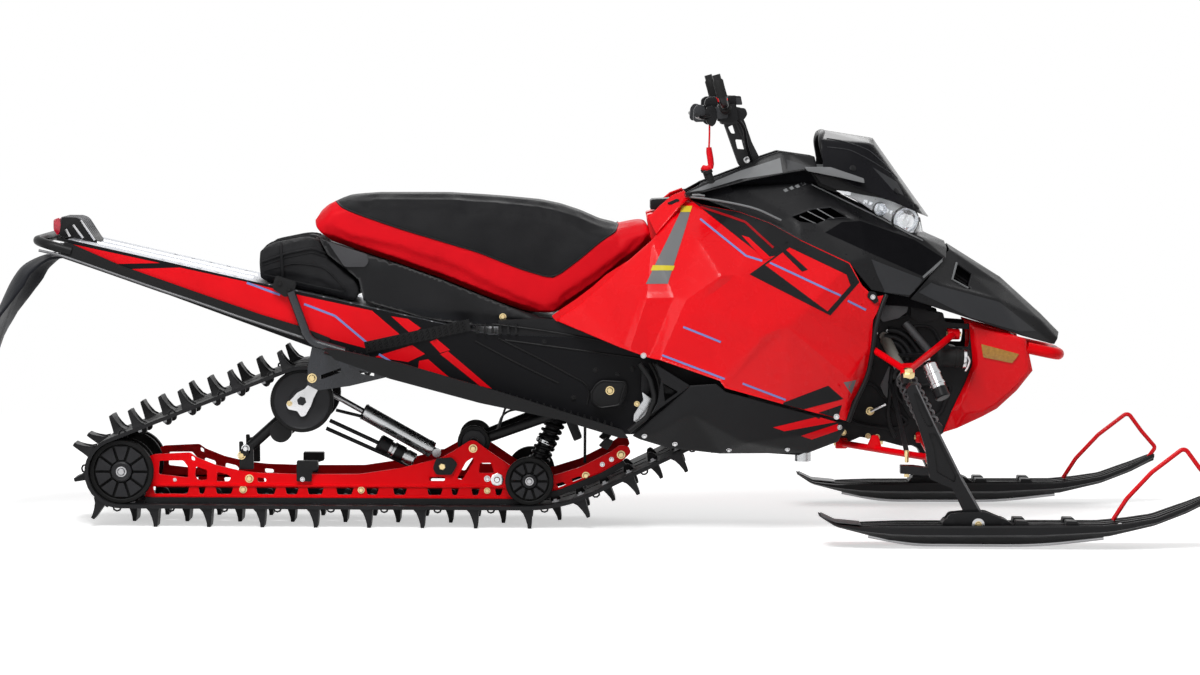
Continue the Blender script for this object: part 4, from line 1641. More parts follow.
HOOD_FOLDS = [["ridge a", "lamp back", "lamp mid", "lamp front", "edge"], ["back", "lamp back"],
              ["brow d", "inset a", "inset b", "inset c", "inset d", "inset front"],
              ["inset a", "bar a", "bar b", "cheek front"], ["brow e", "bar a"]]
HOOD_VENT = ["vent a", "vent b", "vent c", "vent d", "vent e", "vent f", "vent g"]
hood_black = moulded("hood black plastic", (0.009, 0.009, 0.010), rough=0.30, mottle=0.12, grain=1300,
                     depth=0.0002)
hood_grey = moulded("hood grey plastic", (0.034, 0.035, 0.038), rough=0.34, mottle=0.1, grain=1300,
                    depth=0.0002)
pale_edge = moulded("pale moulding", (0.19, 0.195, 0.20), rough=0.42, mottle=0.08, grain=900, depth=0.0001)
matte_black = moulded("matte black trim", (0.005, 0.005, 0.006), rough=0.65, grain=900, shine=0.03)
hood_surface = sheet_pair("hood_shell", hood_black, ["hood"], HOOD, HOOD_RIM, HOOD_FOLDS,
                          0.004, longest=0.013, passes=1, holes=[HOOD_VENT], sharp=45, joined=0.0002)
# A black liner closes the body under the hood and the console, in two halves with the post between them.
LINER = [(0.296, 0.900), (0.330, 0.924), (0.440, 0.953), (0.560, 0.978), (0.622, 0.975), (0.660, 0.915),
         (0.800, 0.838), (0.920, 0.778), (0.990, 0.738), (1.060, 0.690), (1.120, 0.640), (1.060, 0.600),
         (0.900, 0.650), (0.780, 0.640), (0.720, 0.700), (0.590, 0.775), (0.430, 0.835), (0.330, 0.855)]
bm = bmesh.new()
slab(bm, LINER[:6] + [(0.700, 0.895), (0.700, 0.712)] + LINER[15:], 0.030, 0.108)
slab(bm, [(0.700, 0.895)] + LINER[6:9] + [(0.990, 0.645), (0.900, 0.650), (0.780, 0.640), (0.720, 0.700),
                                          (0.700, 0.712)], 0.0, 0.104)
slab(bm, [(0.990, 0.752), (1.040, 0.732), (1.090, 0.698), (1.130, 0.650), (1.060, 0.604),
          (0.990, 0.630)], 0.0, 0.056)
slab(bm, [(0.790, 0.720), (0.930, 0.690), (0.962, 0.640), (0.950, 0.603), (0.880, 0.612),
          (0.800, 0.618)], 0.104, 0.168, radius=0.006, edge=0.003)
# Wedge that closes the corner between the hood, the knee and the console
slab(bm, [(0.283, 0.906), (0.286, 0.916), (0.330, 0.926), (0.400, 0.940), (0.430, 0.900),
          (0.340, 0.900)], 0.108, 0.132, radius=0.002, edge=0.001)
mirrored(bm)
finished(bm, "hood_liner", [matte_black])
INSET = [(0.660, 0.813), (0.706, 0.841), (0.757, 0.844), (0.905, 0.793), (0.990, 0.741), (0.925, 0.696)]
CHEEK = [(0.784, 0.742), (0.920, 0.690), (0.930, 0.680), (0.890, 0.645), (0.823, 0.652), (0.800, 0.700)]
bm = bmesh.new()
drape(bm, hood_surface, INSET, lift=0.0006, material=3)
drape(bm, hood_surface, CHEEK, lift=0.0010, material=1)
drape(bm, hood_surface, line_band((0.927, 0.692), (0.992, 0.742), 0.006), lift=0.0016, material=2)
seam(bm, hood_surface, [(0.627, 0.940), (0.732, 0.889), (0.814, 0.850), (0.883, 0.812), (0.930, 0.790)],
     0.0018, material=2)
# Fine pale slats across the outlet, its thin grey lip further down, and the four pale slots at the end
for a, b in (((0.592, 0.856), (0.636, 0.836)), ((0.612, 0.870), (0.660, 0.846)),
             ((0.638, 0.877), (0.684, 0.851))):
    sweep_round(bm, [(a[0], -0.176, a[1]), (b[0], -0.182, b[1])], 0.0016, 6, 2)
# Rolled pale edge along the hood's foot
sweep_round(bm, eased([(0.292, -0.146, 0.906), (0.330, -0.166, 0.903), (0.380, -0.182, 0.896),
                       (0.430, -0.192, 0.887), (0.476, -0.202, 0.876), (0.540, -0.214, 0.846)]), 0.0030,
            8, 2)
sweep_round(bm, [(0.300, -0.150, 0.911), (0.318, -0.154, 0.912), (0.334, -0.156, 0.909)], 0.0032, 8, 2)
sweep_round(bm, [(HOOD[n][0], -HOOD[n][1] - 0.001, HOOD[n][2] + 0.001) for n in HOOD_VENT[:5]], 0.0016, 6, 1)
for x, z in ((0.556, 0.925), (0.572, 0.931), (0.588, 0.936), (0.604, 0.943)):
    drape(bm, hood_surface, [(x - 0.008, z), (x + 0.001, z + 0.005), (x + 0.007, z - 0.002),
                             (x - 0.002, z - 0.006)], lift=0.0014, material=2)
mirrored(bm)
finished(bm, "hood_details", [runner_black, hood_grey, pale_edge, matte_black],
         outward=False)

# ---- Nose cowl
# A black beak that runs down from the hood to the front bumper, with an intake pocket on each side of its
# ridge and a lighter band along the flank.
NOSE = {"n0": (1.006, 0.0, 0.779), "n1": (1.156, 0.0, 0.686), "n2": (1.268, 0.0, 0.586),
        "tip": (1.320, 0.0, 0.534), "tip side": (1.312, 0.042, 0.518), "tip low": (1.304, 0.044, 0.504),
        "low2": (1.200, 0.112, 0.534), "mid low": (1.060, 0.168, 0.580),
        "cheek low": (0.893, 0.204, 0.634), "cheek top": (0.938, 0.184, 0.684),
        "e0": (1.010, 0.062, 0.764), "e1": (1.156, 0.050, 0.668), "e2": (1.262, 0.044, 0.572),
        "band1": (0.968, 0.172, 0.676), "band2": (1.143, 0.112, 0.630), "band3": (1.250, 0.060, 0.545),
        "v1": (1.028, 0.082, 0.727), "v2": (1.070, 0.078, 0.697), "v3": (1.056, 0.122, 0.660),
        "v4": (1.012, 0.130, 0.684)}
NOSE_RIM = ["n0", "n1", "n2", "tip", "tip side", "tip low", "low2", "mid low", "cheek low", "cheek top",
            "e0"]
NOSE_FOLDS = [["e0", "e1", "e2", "tip side"], ["cheek top", "band1", "band2", "band3", "tip low"]]
NOSE_POCKET = ["v1", "v2", "v3", "v4"]
nose_surface = sheet_pair("nose_shell", hood_black, ["nose_cowl"], NOSE, NOSE_RIM,
                          NOSE_FOLDS, 0.004, longest=0.012, passes=1, holes=[NOSE_POCKET], sharp=45,
                          joined=0.0002)
BAND = [(0.915, 0.652), (0.950, 0.678), (0.968, 0.670), (1.143, 0.622), (1.250, 0.540), (1.200, 0.541),
        (1.060, 0.582)]
bm = bmesh.new()
drape(bm, nose_surface, BAND, lift=0.0008, material=1)
# Pale lip and dark floor of the intake pocket
pocket = [Vector((NOSE[n][0], -NOSE[n][1], NOSE[n][2])) for n in NOSE_POCKET]
sweep_round(bm, [pocket[0], pocket[3], pocket[2]], 0.0035, 8, 2)
sweep_round(bm, [pocket[2], pocket[1], pocket[0]], 0.0025, 8, 0)
deep = [p + Vector((-0.010, 0.022, -0.020)) for p in pocket]
for share in (0.1, 0.3, 0.5, 0.7, 0.9):
    sweep_round(bm, [deep[0].lerp(deep[3], share), deep[1].lerp(deep[2], share)], 0.0035, 6)
mirrored(bm)
finished(bm, "nose_details", [runner_black, hood_grey, pale_edge], outward=False)

# ---- Nose side panels and front bumper
# Red covers beside the front frame, bevelled round their rim, with an amber reflector; a black mesh closes
# the gap between them and a steel tube bumper stands in front.
FLANK = [(1.060, 0.568), (1.206, 0.526), (1.217, 0.520), (1.236, 0.435), (1.193, 0.380), (1.139, 0.330),
         (1.099, 0.308), (1.031, 0.276), (0.993, 0.264), (1.017, 0.327), (1.052, 0.401), (1.072, 0.456)]
FLANK_IN = [(1.074, 0.556), (1.200, 0.520), (1.210, 0.510), (1.223, 0.434), (1.182, 0.386), (1.131, 0.342),
            (1.096, 0.322), (1.050, 0.318), (1.035, 0.330), (1.066, 0.401), (1.085, 0.456)]
rim, ring = numbered("r", FLANK, 0.118), numbered("i", FLANK_IN, 0.1285)
sheet_pair("nose_flanks", body_red, ["nose_panels"], rim | ring, list(rim), [[*ring, "i0"]],
           0.005, longest=0.012, passes=1, sharp=45)
AMBER = [(1.093, 0.508), (1.197, 0.481), (1.178, 0.456), (1.099, 0.472)]
amber_lens, net, shader = clouded("amber lens", 120.0, (0.34, 0.15, 0.012), (0.50, 0.25, 0.03), 60.0,
                                  (0.10, 0.18))
relief(net, shader, noise(net, 420.0), 0.0004)
bm = bmesh.new()
slab(bm, AMBER, 0.127, 0.1325, radius=0.003, edge=0.0015)
mirrored(bm)
finished(bm, "amber_reflectors", [amber_lens])
bm = bmesh.new()
FRONT_EDGE = [(1.200, 0.522), (1.212, 0.500), (1.224, 0.436), (1.184, 0.386), (1.132, 0.338),
              (1.094, 0.316), (1.030, 0.284)]
MESH_WIRE = 0.0022
MESH_HALF = 0.114
MESH_STEP = 0.018
for a, b in zip(FRONT_EDGE[:-1], FRONT_EDGE[1:]):
    for k in range(13):
        sweep_round(bm, at_side((a, b), 0.105 - 0.0175 * k), MESH_WIRE, 6)
    count = max(1, int((Vector(b) - Vector(a)).length / MESH_STEP))
    for k in range(count):
        p = Vector(a).lerp(Vector(b), k / count)
        sweep_round(bm, [(p.x, -MESH_HALF, p.y), (p.x, MESH_HALF, p.y)], MESH_WIRE, 6)
finished(bm, "nose_mesh", [panel_black])
recoat(rail_red, "front_bumper")

# ---- Headlamps
# A clear polycarbonate cover over two chromed reflectors in a silver housing, one lamp each side of the
# ridge. The cover is bonded to the housing's rim.
clear_cover, net, shader = clouded("clear cover", 12.0, (0.95, 0.97, 0.99), (1.0, 1.0, 1.0), 40.0,
                                   (0.02, 0.06))
shader.inputs["Transmission Weight"].default_value = 0.95
shader.inputs["IOR"].default_value = 1.12
chrome = moulded("reflector chrome", (0.82, 0.83, 0.85), rough=0.10, mottle=0.03, metal=1.0, grain=60,
                 depth=0.0003)
LAMP = [(0.690, 0.924), (0.730, 0.925), (0.812, 0.907), (0.878, 0.886), (0.922, 0.853), (0.930, 0.813),
        (0.893, 0.812), (0.790, 0.872), (0.760, 0.893)]
LAMP_IN = [(0.735, 0.914), (0.815, 0.896), (0.872, 0.875), (0.905, 0.847), (0.910, 0.824), (0.796, 0.880)]
rim, ring = numbered("r", LAMP, 0.136), numbered("i", LAMP_IN, 0.150)
sheet_pair("lamp_covers", clear_cover, ["headlamps"], rim | ring, list(rim),
           [[*ring, "i0"]], 0.002, longest=0.010, passes=3, edge=0)
bm = bmesh.new()
back = [(x * 0.97 + 0.024, z * 0.97 + 0.026) for x, z in LAMP]
slab(bm, back, 0.020, 0.108, radius=0.004, edge=0.002, material=3)
# A row of chromed steps above the reflectors
for k in range(9):
    x, z = 0.770 + 0.0145 * k, 0.902 - 0.0058 * k
    slab(bm, [(x, z), (x + 0.011, z - 0.004), (x + 0.008, z - 0.014), (x - 0.003, z - 0.010)], 0.108, 0.114,
         edge=0.001, material=1)
# Reflectors: a chromed bowl, a black rim and a clear bulb cover
way = (0.30, -0.95, -0.05)
for x, z, r in ((0.876, 0.845, 0.036), (0.806, 0.876, 0.018)):
    at = (x, -0.108, z)
    turned(bm, at, way, [(0.026, r), (0.020, r * 0.97), (0.008, r * 0.80), (0.001, r * 0.42),
                         (0.0, 0.0)], 32, 1)
    turned(bm, at, way, [(0.026, r), (0.024, r * 1.10), (0.018, r * 1.10)], 32, 0)
    turned(bm, at, way, [(0.002, r * 0.45), (0.014, r * 0.42), (0.019, r * 0.25), (0.020, 0.0)], 24, 2)
slab(bm, [(0.692, 0.926), (0.731, 0.925), (0.733, 0.914), (0.712, 0.914)], 0.108, 0.138, radius=0.002,
     edge=0.001, material=1)
mirrored(bm)
lamp_grey = moulded("lamp housing silver", (0.90, 0.91, 0.92), rough=0.24, mottle=0.05, grain=120,
                    depth=0.0006)
finished(bm, "lamp_bowls", [hood_black, chrome, clear_cover, lamp_grey])

# ---- Windshield
# A smoked polycarbonate screen, moulded in one crisp wrap and darker at its foot. It stands on a grey bezel,
# held by plastic screws along its lower edge.
smoke, net, shader = clouded("smoked screen", 5.0, (0.010, 0.010, 0.012), (0.016, 0.016, 0.018), 14.0,
                             (0.05, 0.10))
# The tint fades towards the sloping front edge, where x times its slope plus z passes from one to the other
EDGE_SLOPE = 1.378
FADE = (2.110, 2.155)
TINT = (0.97, 0.55)
parts, lean = node(net, "SeparateXYZ"), node(net, "Math")
lean.operation = "MULTIPLY_ADD"
lean.inputs[1].default_value = EDGE_SLOPE
clear_edge = node(net, "MapRange", From_Min=FADE[0], From_Max=FADE[1], To_Min=TINT[0], To_Max=TINT[1])
shader.inputs["Specular IOR Level"].default_value = 0.04
wire(net, (node(net, "TexCoord").outputs["Object"], parts.inputs["Vector"]),
     (parts.outputs["X"], lean.inputs[0]), (parts.outputs["Z"], lean.inputs[2]),
     (lean.outputs[0], clear_edge.inputs["Value"]),
     (clear_edge.outputs["Result"], shader.inputs["Alpha"]))
SCREEN = {"back top": (0.652, 0.0, 1.090), "top front": (0.800, 0.0, 1.067),
          "front a": (0.870, 0.0, 0.970), "tip": (0.956, 0.0, 0.852), "tip side": (0.930, 0.116, 0.862),
          "low mid": (0.857, 0.156, 0.893), "low back": (0.735, 0.176, 0.940),
          "heel": (0.655, 0.180, 0.985), "back side": (0.652, 0.124, 1.064),
          "top side": (0.795, 0.092, 1.052), "round a": (0.648, 0.070, 1.083)}
SCREEN_RIM = ["back top", "top front", "front a", "tip", "tip side", "low mid", "low back", "heel",
              "back side", "round a"]
SCREEN_FOLDS = [["back side", "top side", "tip side"]]
screen_surface = sheet_pair("screen", smoke, ["windshield"], SCREEN, SCREEN_RIM,
                            SCREEN_FOLDS, 0.003, passes=3, sharp=60, joined=0.0004)
bm = bmesh.new()
for x, z in ((0.736, 0.986), (0.857, 0.925), (0.915, 0.882)):
    hit, normal = onto(screen_surface, x, z)
    if hit is not None:
        turned(bm, hit, normal, [(-0.002, 0.009), (0.002, 0.009), (0.003, 0.007), (0.003, 0)], 18)
BEZEL = [(0.603, 0.989), (0.674, 0.990), (0.764, 0.960), (0.766, 0.947), (0.700, 0.962), (0.611, 0.979)]
slab(bm, BEZEL, 0.120, 0.186, radius=0.003, edge=0.002, material=1)
slab(bm, [(0.630, 0.972), (0.700, 0.960), (0.790, 0.930), (0.820, 0.905), (0.760, 0.915), (0.690, 0.930),
          (0.650, 0.945)], 0.110, 0.150, radius=0.004, edge=0.002)
# Fine raised lines and a lighter wedge on the screen's flank, and its rolled rear rim
seam(bm, screen_surface, [(0.667, 1.066), (0.708, 1.060), (0.757, 1.045), (0.785, 1.033), (0.823, 1.000),
                          (0.862, 0.957)], 0.0013, material=2)
seam(bm, screen_surface, [(0.667, 1.043), (0.730, 1.036), (0.784, 1.009), (0.845, 0.971)], 0.0013,
     material=2)
drape(bm, screen_surface, [(0.791, 0.989), (0.813, 0.976), (0.859, 0.949), (0.878, 0.911),
                           (0.846, 0.927)], lift=0.0008, material=2)
sweep_round(bm, eased([(0.660, -0.150, 1.010), (0.650, -0.122, 1.056), (0.653, -0.085, 1.078),
                       (0.660, -0.03, 1.083), (0.660, 0.0, 1.083)]), 0.0075, 10, 0)
POD = [(0.600, 0.975), (0.640, 0.985), (0.735, 0.965), (0.850, 0.900), (0.905, 0.850), (0.860, 0.850),
       (0.760, 0.900), (0.660, 0.930), (0.600, 0.950)]
slab(bm, POD, 0.0, 0.100)
mirrored(bm)
finished(bm, "screen_foot", [hood_black, pale_edge, hood_grey])

# ---- Console
# The black moulded cover round the steering post, clipped between the hood's halves. It has a pale side
# facet, a gauge hood and the post of the tether's switch.
CONSOLE = [(0.281, 0.915), (0.324, 0.940), (0.378, 0.960), (0.433, 0.981), (0.488, 1.010), (0.540, 1.028),
           (0.570, 1.024), (0.634, 1.015), (0.640, 0.985), (0.560, 0.972), (0.440, 0.948), (0.330, 0.918)]
CONSOLE_TOP = 0.118          # half width along its top; its foot is wider
CONSOLE_FOOT = 0.146
POST_GAP = 0.050
corners = {f"r{i}": (x, CONSOLE_TOP if 1 <= i <= 7 else CONSOLE_FOOT, z) for i, (x, z) in enumerate(CONSOLE)}
bm = bmesh.new()
sheet_mesh(bm, corners, list(corners), [["r5", "r9"], ["r3", "r10"]], longest=0.012, passes=1)
face_out(bm)
console_surface = BVHTree.FromBMesh(bm)
mirrored(bm)
# The top between the two sides, split round the post
TOP_LINE = CONSOLE[1:8]
for a, b in zip(TOP_LINE[:-1], TOP_LINE[1:]):
    split = ((-CONSOLE_TOP, -POST_GAP), (POST_GAP, CONSOLE_TOP))
    for start, end in split if b[0] <= 0.560 else ((-CONSOLE_TOP, CONSOLE_TOP),):
        quad = [bm.verts.new((a[0], start, a[1])), bm.verts.new((b[0], start, b[1])),
                bm.verts.new((b[0], end, b[1])), bm.verts.new((a[0], end, a[1]))]
        bm.faces.new(quad).material_index = 1
console = finished(bm, "console_shell", [hood_black, matte_black],
                   stands_for=["console"], outward=False)
walled(console, 0.004, offset=0)
PALE = [(0.292, 0.917), (0.430, 0.975), (0.540, 1.012), (0.546, 0.972), (0.430, 0.953), (0.330, 0.922)]
bm = bmesh.new()
drape(bm, console_surface, PALE, lift=0.0030, material=1)
drape(bm, console_surface, [(0.556, 1.008), (0.602, 0.994), (0.626, 0.986), (0.560, 0.976)], lift=0.0030)
# The tether's switch post
turned(bm, (0.356, -0.120, 0.940), (-0.35, 0, 0.93), [(0, 0.013), (0.010, 0.013), (0.012, 0.010),
                                                      (0.030, 0.0098), (0.032, 0.013), (0.040, 0.013),
                                                      (0.042, 0.010), (0.042, 0)], 24, 2)
mirrored(bm)
finished(bm, "console_details", [hood_grey, pale_edge, rubber_black], outward=False)

# ---- Front frame, engine and intakes
# A welded and cast aluminium frame carries the engine and the front arms. It is coated black, with rimmed
# bays in its side plates, and a soft air tube leads forward out of it on each side.
FRAME_OUT = 0.112
FRAME_SIDE = [(0.705, 0.222), (0.705, 0.640), (0.880, 0.628), (0.955, 0.600), (0.990, 0.592), (0.996, 0.566),
              (1.068, 0.561), (1.072, 0.505), (1.069, 0.440), (1.050, 0.384), (1.022, 0.332), (0.996, 0.264),
              (0.958, 0.233), (0.881, 0.225), (0.821, 0.241), (0.766, 0.250)]
FRAME_WINDOW = [(1.000, 0.550), (1.062, 0.547), (1.064, 0.526), (1.060, 0.499), (1.008, 0.500),
                (1.000, 0.520)]
FRAME_CORE = [(0.712, 0.228), (0.712, 0.632), (0.880, 0.620), (0.950, 0.594), (0.976, 0.588), (0.984, 0.500),
              (1.040, 0.490), (1.060, 0.440), (1.042, 0.388), (1.014, 0.336), (0.988, 0.270), (0.950, 0.240),
              (0.881, 0.233), (0.821, 0.248), (0.766, 0.257)]
FRAME_BAYS = [[(0.730, 0.290), (0.730, 0.400), (0.800, 0.400), (0.840, 0.350), (0.900, 0.290),
               (0.860, 0.270)], [(0.730, 0.440), (0.730, 0.540), (0.790, 0.545), (0.800, 0.440)],
              [(0.905, 0.440), (0.900, 0.555), (0.960, 0.555), (0.990, 0.500), (0.985, 0.455)],
              [(0.930, 0.300), (0.905, 0.390), (0.985, 0.400), (1.015, 0.390), (0.985, 0.310)],
              [(0.740, 0.575), (0.740, 0.620), (0.860, 0.606), (0.900, 0.585), (0.830, 0.570)]]
cast_black = moulded("cast black", (0.010, 0.010, 0.011), rough=0.5, mottle=0.2, grain=420, depth=0.0006)
cast_grey = moulded("cast grey", (0.13, 0.13, 0.135), rough=0.5, mottle=0.2, grain=420, depth=0.0006)
engine_grey = moulded("engine casting", (0.055, 0.055, 0.058), rough=0.5, mottle=0.15, metal=0.5,
                      grain=300, depth=0.0006)
bm = bmesh.new()
slab(bm, FRAME_SIDE, FRAME_OUT - 0.008, FRAME_OUT, FRAME_BAYS + [FRAME_WINDOW], radius=0.005,
     cut_radius=0.004)
slab(bm, FRAME_CORE, 0.004, FRAME_OUT - 0.012, radius=0.004)
for bay in FRAME_BAYS:
    sweep_round(bm, eased(at_side(bay + bay[:2], FRAME_OUT), cut=0.35), 0.0045, 8)
for x, z, size in ((0.720, 0.262, 0.9), (0.788, 0.252, 0.8), (0.813, 0.250, 0.8), (0.722, 0.560, 0.9),
                   (0.712, 0.420, 0.9), (0.793, 0.321, 1.2), (0.948, 0.247, 0.8)):
    screw(bm, (x, -FRAME_OUT, z), material=1, scale=size)
for at in at_side([(0.806, 0.535), (0.840, 0.541)], FRAME_OUT):
    screw(bm, at, material=3, scale=0.55)
# Faceted air box, a light grey cover plate, a steel gear lever and looped black hoses on the frame's flank
slab(bm, [(0.828, 0.618), (0.844, 0.634), (0.882, 0.637), (0.893, 0.626), (0.888, 0.596), (0.866, 0.579),
          (0.823, 0.568), (0.814, 0.579)], FRAME_OUT, 0.150, radius=0.004, edge=0.010, material=4)
slab(bm, [(0.900, 0.618), (0.948, 0.598), (0.985, 0.592), (0.970, 0.572), (0.925, 0.566),
          (0.900, 0.580)], FRAME_OUT, 0.126, radius=0.005, edge=0.006)
slab(bm, [(0.844, 0.447), (0.820, 0.392), (0.834, 0.357), (0.861, 0.365), (0.855, 0.420)], FRAME_OUT,
     0.115, radius=0.003, edge=0.001, material=2)
slab(bm, [(0.905, 0.300), (0.880, 0.340), (0.878, 0.400), (0.900, 0.430), (0.925, 0.400),
          (0.930, 0.330)], FRAME_OUT, 0.135, radius=0.010, edge=0.006)
sweep_round(bm, eased([(0.793, -0.126, 0.321), (0.812, -0.130, 0.331), (0.834, -0.130, 0.341)]), 0.0034,
            8, 3)
# Hoses, each a little further out as it runs on: points and radius
HOSES = [([(0.838, 0.545), (0.868, 0.541), (0.897, 0.522), (0.922, 0.488)], 0.0075),
         ([(0.828, 0.528), (0.861, 0.524), (0.885, 0.507), (0.905, 0.473)], 0.0075),
         ([(0.836, 0.513), (0.862, 0.508), (0.878, 0.492), (0.892, 0.462)], 0.0065),
         ([(0.850, 0.440), (0.846, 0.400), (0.843, 0.350), (0.838, 0.318), (0.846, 0.280),
           (0.862, 0.250)], 0.0055), ([(0.868, 0.440), (0.858, 0.400), (0.863, 0.365), (0.880, 0.346)],
                                      0.0045)]
for line, thick in HOSES:
    sweep_round(bm, eased([(x, -0.128 - 0.0008 * k, z) for k, (x, z) in enumerate(line)]), thick, 10)
sweep_round(bm, [(0.884, -0.140, 0.565), (0.915, -0.150, 0.528), (0.950, -0.150, 0.488)], 0.0115, 14, 4)
mirrored(bm)
# The steering rack's housing, across the frame
RACK = (0.850, 0.400)
turned(bm, (RACK[0], -FRAME_OUT, RACK[1]), (0, 1, 0), [(0, 0.026), (2 * FRAME_OUT, 0.026)], 24)
finished(bm, "front_structure", [cast_black, gold_zinc, cast_grey, bright_zinc, engine_grey],
         stands_for=["front_frame"])
recoat(engine_grey, "engine_block")
recoat(shock_silver, "exhaust_tip")

# Air tubes: a ribbed bellows with a bright band and a spring clip
bm = bmesh.new()
start, end = Vector((0.968, -0.158, 0.474)), Vector((1.058, -0.150, 0.468))
way = end - start
turned(bm, start, way, [(0, 0.0), (0, 0.023), (0.003, 0.026), (0.010, 0.026), (0.013, 0.0235),
                        (0.050, 0.0235), (0.053, 0.026), (0.060, 0.026), (0.063, 0.0235),
                        (0.068, 0.0235), (0.071, 0.026), (0.088, 0.026), (0.0905, 0.023),
                        (0.0905, 0.020), (0.080, 0.018), (0.080, 0)], 32)
turned(bm, start, way, [(0.073, 0.0268), (0.081, 0.0268), (0.081, 0.025)], 32, 1)
sweep_round(bm, eased([(1.051, -0.186, 0.478), (1.057, -0.187, 0.466), (1.052, -0.187, 0.450),
                       (1.045, -0.186, 0.438)]), 0.003, 8, 1)
mirrored(bm)
finished(bm, "intake_tubes", [rubber_black, bright_zinc], stands_for=["air_tubes"])

# ---- Front suspension arms
# Forged and welded steel A-arms, painted red, with black bushes at the frame and castle-nutted ball joints
# at the spindle.
UPPER_BALL = (0.866, 0.455, 0.456)
LOWER_BALL = (0.932, 0.478, 0.228)
ARM_R = 0.0092
BUSH = [(0, 0.007), (0, 0.013), (0.003, 0.015), (0.029, 0.015), (0.032, 0.013), (0.032, 0.007)]
BUSH_BOLT = [(0, 0), (0, 0.007), (0.040, 0.007), (0.040, 0)]
JOINT_CUP = [(0, 0), (0, 0.016), (0.004, 0.019), (0.016, 0.019), (0.019, 0.015), (0.019, 0)]
CASTLE_NUT = [(0, 0), (0, 0.015), (0.004, 0.0178), (0.014, 0.0178), (0.016, 0.013), (0.024, 0.0125),
              (0.026, 0.009), (0.026, 0)]
GUSSET_HALF = 0.003


def a_arm(bm, ball, rear, front):
    """Two tubes from the ball joint to the frame, a forged end, a gusset and two bushes."""
    tip = Vector((ball[0], -ball[1], ball[2]))
    feet = [Vector((p[0], -p[1], p[2])) for p in (rear, front)]
    for foot in feet:
        sweep_round(bm, [tip.lerp(foot, 0.03), tip.lerp(foot, 0.5), foot], ARM_R, 16)
        turned(bm, foot + Vector((-0.016, 0, 0)), (1, 0, 0), BUSH, 28)
        turned(bm, foot + Vector((-0.020, 0, 0)), (1, 0, 0), BUSH_BOLT, 6, 2)
    turned(bm, tip + Vector((0, 0, -0.014)), (0, 0, 1), JOINT_CUP, 28)
    turned(bm, tip + Vector((0, -0.008, -0.016)), (0, -0.2, 1), CASTLE_NUT, 6, 2)
    corners = [tip.lerp(feet[0], 0.20), tip.lerp(feet[1], 0.20), tip.lerp(feet[1], 0.06),
               tip.lerp(feet[0], 0.06)]
    for lift in (GUSSET_HALF, -GUSSET_HALF):
        bm.faces.new([bm.verts.new(p + Vector((0, 0, lift))) for p in corners])


arm_red = moulded("arm red paint", (0.84, 0.001, 0.006), rough=0.30, mottle=0.06, grain=700,
                  depth=0.0001, shine=0.12)
bm = bmesh.new()
a_arm(bm, UPPER_BALL, (0.754, 0.116, 0.519), (1.019, 0.116, 0.534))
mirrored(bm)
finished(bm, "upper_a_arms", [arm_red, cast_black, gold_zinc],
         stands_for=["upper_arms"], sharp=45)
bm = bmesh.new()
LOWER_REAR = (0.714, 0.118, 0.233)
a_arm(bm, LOWER_BALL, LOWER_REAR, (0.934, 0.118, 0.250))
# The damper's bracket on the rear tube
tip, foot = (Vector((p[0], -p[1], p[2])) for p in (LOWER_BALL, LOWER_REAR))
at = tip.lerp(foot, 0.62)
slab(bm, [(at.x - 0.024, at.z + 0.002), (at.x + 0.018, at.z + 0.001), (at.x + 0.008, at.z + 0.036),
          (at.x - 0.008, at.z + 0.037)], -at.y - 0.010, -at.y + 0.010, radius=0.004, edge=0.002)
mirrored(bm)
finished(bm, "lower_a_arms", [arm_red, cast_black, gold_zinc],
         stands_for=["lower_arms"], sharp=45)

# ---- Front shocks
# Gas dampers with graphite-grey wound springs and a side reservoir. Each is pinned between the lower arm
# and the front frame's top.
bm = bmesh.new()
low, high = Vector((0.955, -0.400, 0.262)), Vector((0.828, -0.110, 0.527))
damper(bm, high, low, 0.0155, 0.008, 0.40, 3, 1)
spring_low, spring_high = low.lerp(high, 0.12), low.lerp(high, 0.64)
coil(bm, spring_low, spring_high, 0.0265, 0.0032, 8.5, 4)
way = high - low
turned(bm, spring_low - way.normalized() * 0.006, way, [(0, 0.012), (0, 0.029), (0.004, 0.030),
                                                        (0.008, 0.024), (0.008, 0.012)], 28, 1)
turned(bm, spring_high - way.normalized() * 0.002, way, [(0, 0.012), (0, 0.024), (0.004, 0.029),
                                                         (0.010, 0.029), (0.012, 0.020), (0.012, 0.010)],
       28, 1)
# Reservoir hung beside the damper on a bright clamp
bottom, top = Vector((0.972, -0.335, 0.376)), Vector((0.934, -0.290, 0.470))
side = top - bottom
turned(bm, bottom, side, [(0, 0), (0, 0.018), (0.003, 0.021), (0.028, 0.021), (0.030, 0.019)], 28, 1)
turned(bm, bottom, side, [(0.030, 0.0195), (0.040, 0.0195), (0.041, 0.0215), (0.046, 0.0215),
                          (0.047, 0.0195), (0.070, 0.0195), (0.071, 0.0215), (0.076, 0.0215),
                          (0.077, 0.0195), (0.100, 0.0195), (0.104, 0.015), (0.104, 0)], 28)
turned(bm, top + side.normalized() * 0.001, side, [(0, 0.008), (0.006, 0.010), (0.014, 0.010),
                                                   (0.018, 0.006), (0.018, 0)], 20, 2)
sweep_round(bm, eased([top, top + side.normalized() * 0.020, high + Vector((0.030, -0.05, -0.050)),
                       high - way.normalized() * 0.045]), 0.006, 10, 1)
mirrored(bm)
spring_grey = moulded("spring graphite", (0.085, 0.085, 0.09), rough=0.35, mottle=0.15, metal=0.4,
                      grain=400, depth=0.0002)
shaft_grey = moulded("damper shaft grey", (0.20, 0.19, 0.17), rough=0.4, mottle=0.12, grain=200,
                     depth=0.0002)
finished(bm, "front_dampers", [shock_silver, spring_black, steel, shaft_grey, spring_grey],
         stands_for=["front_shocks"])

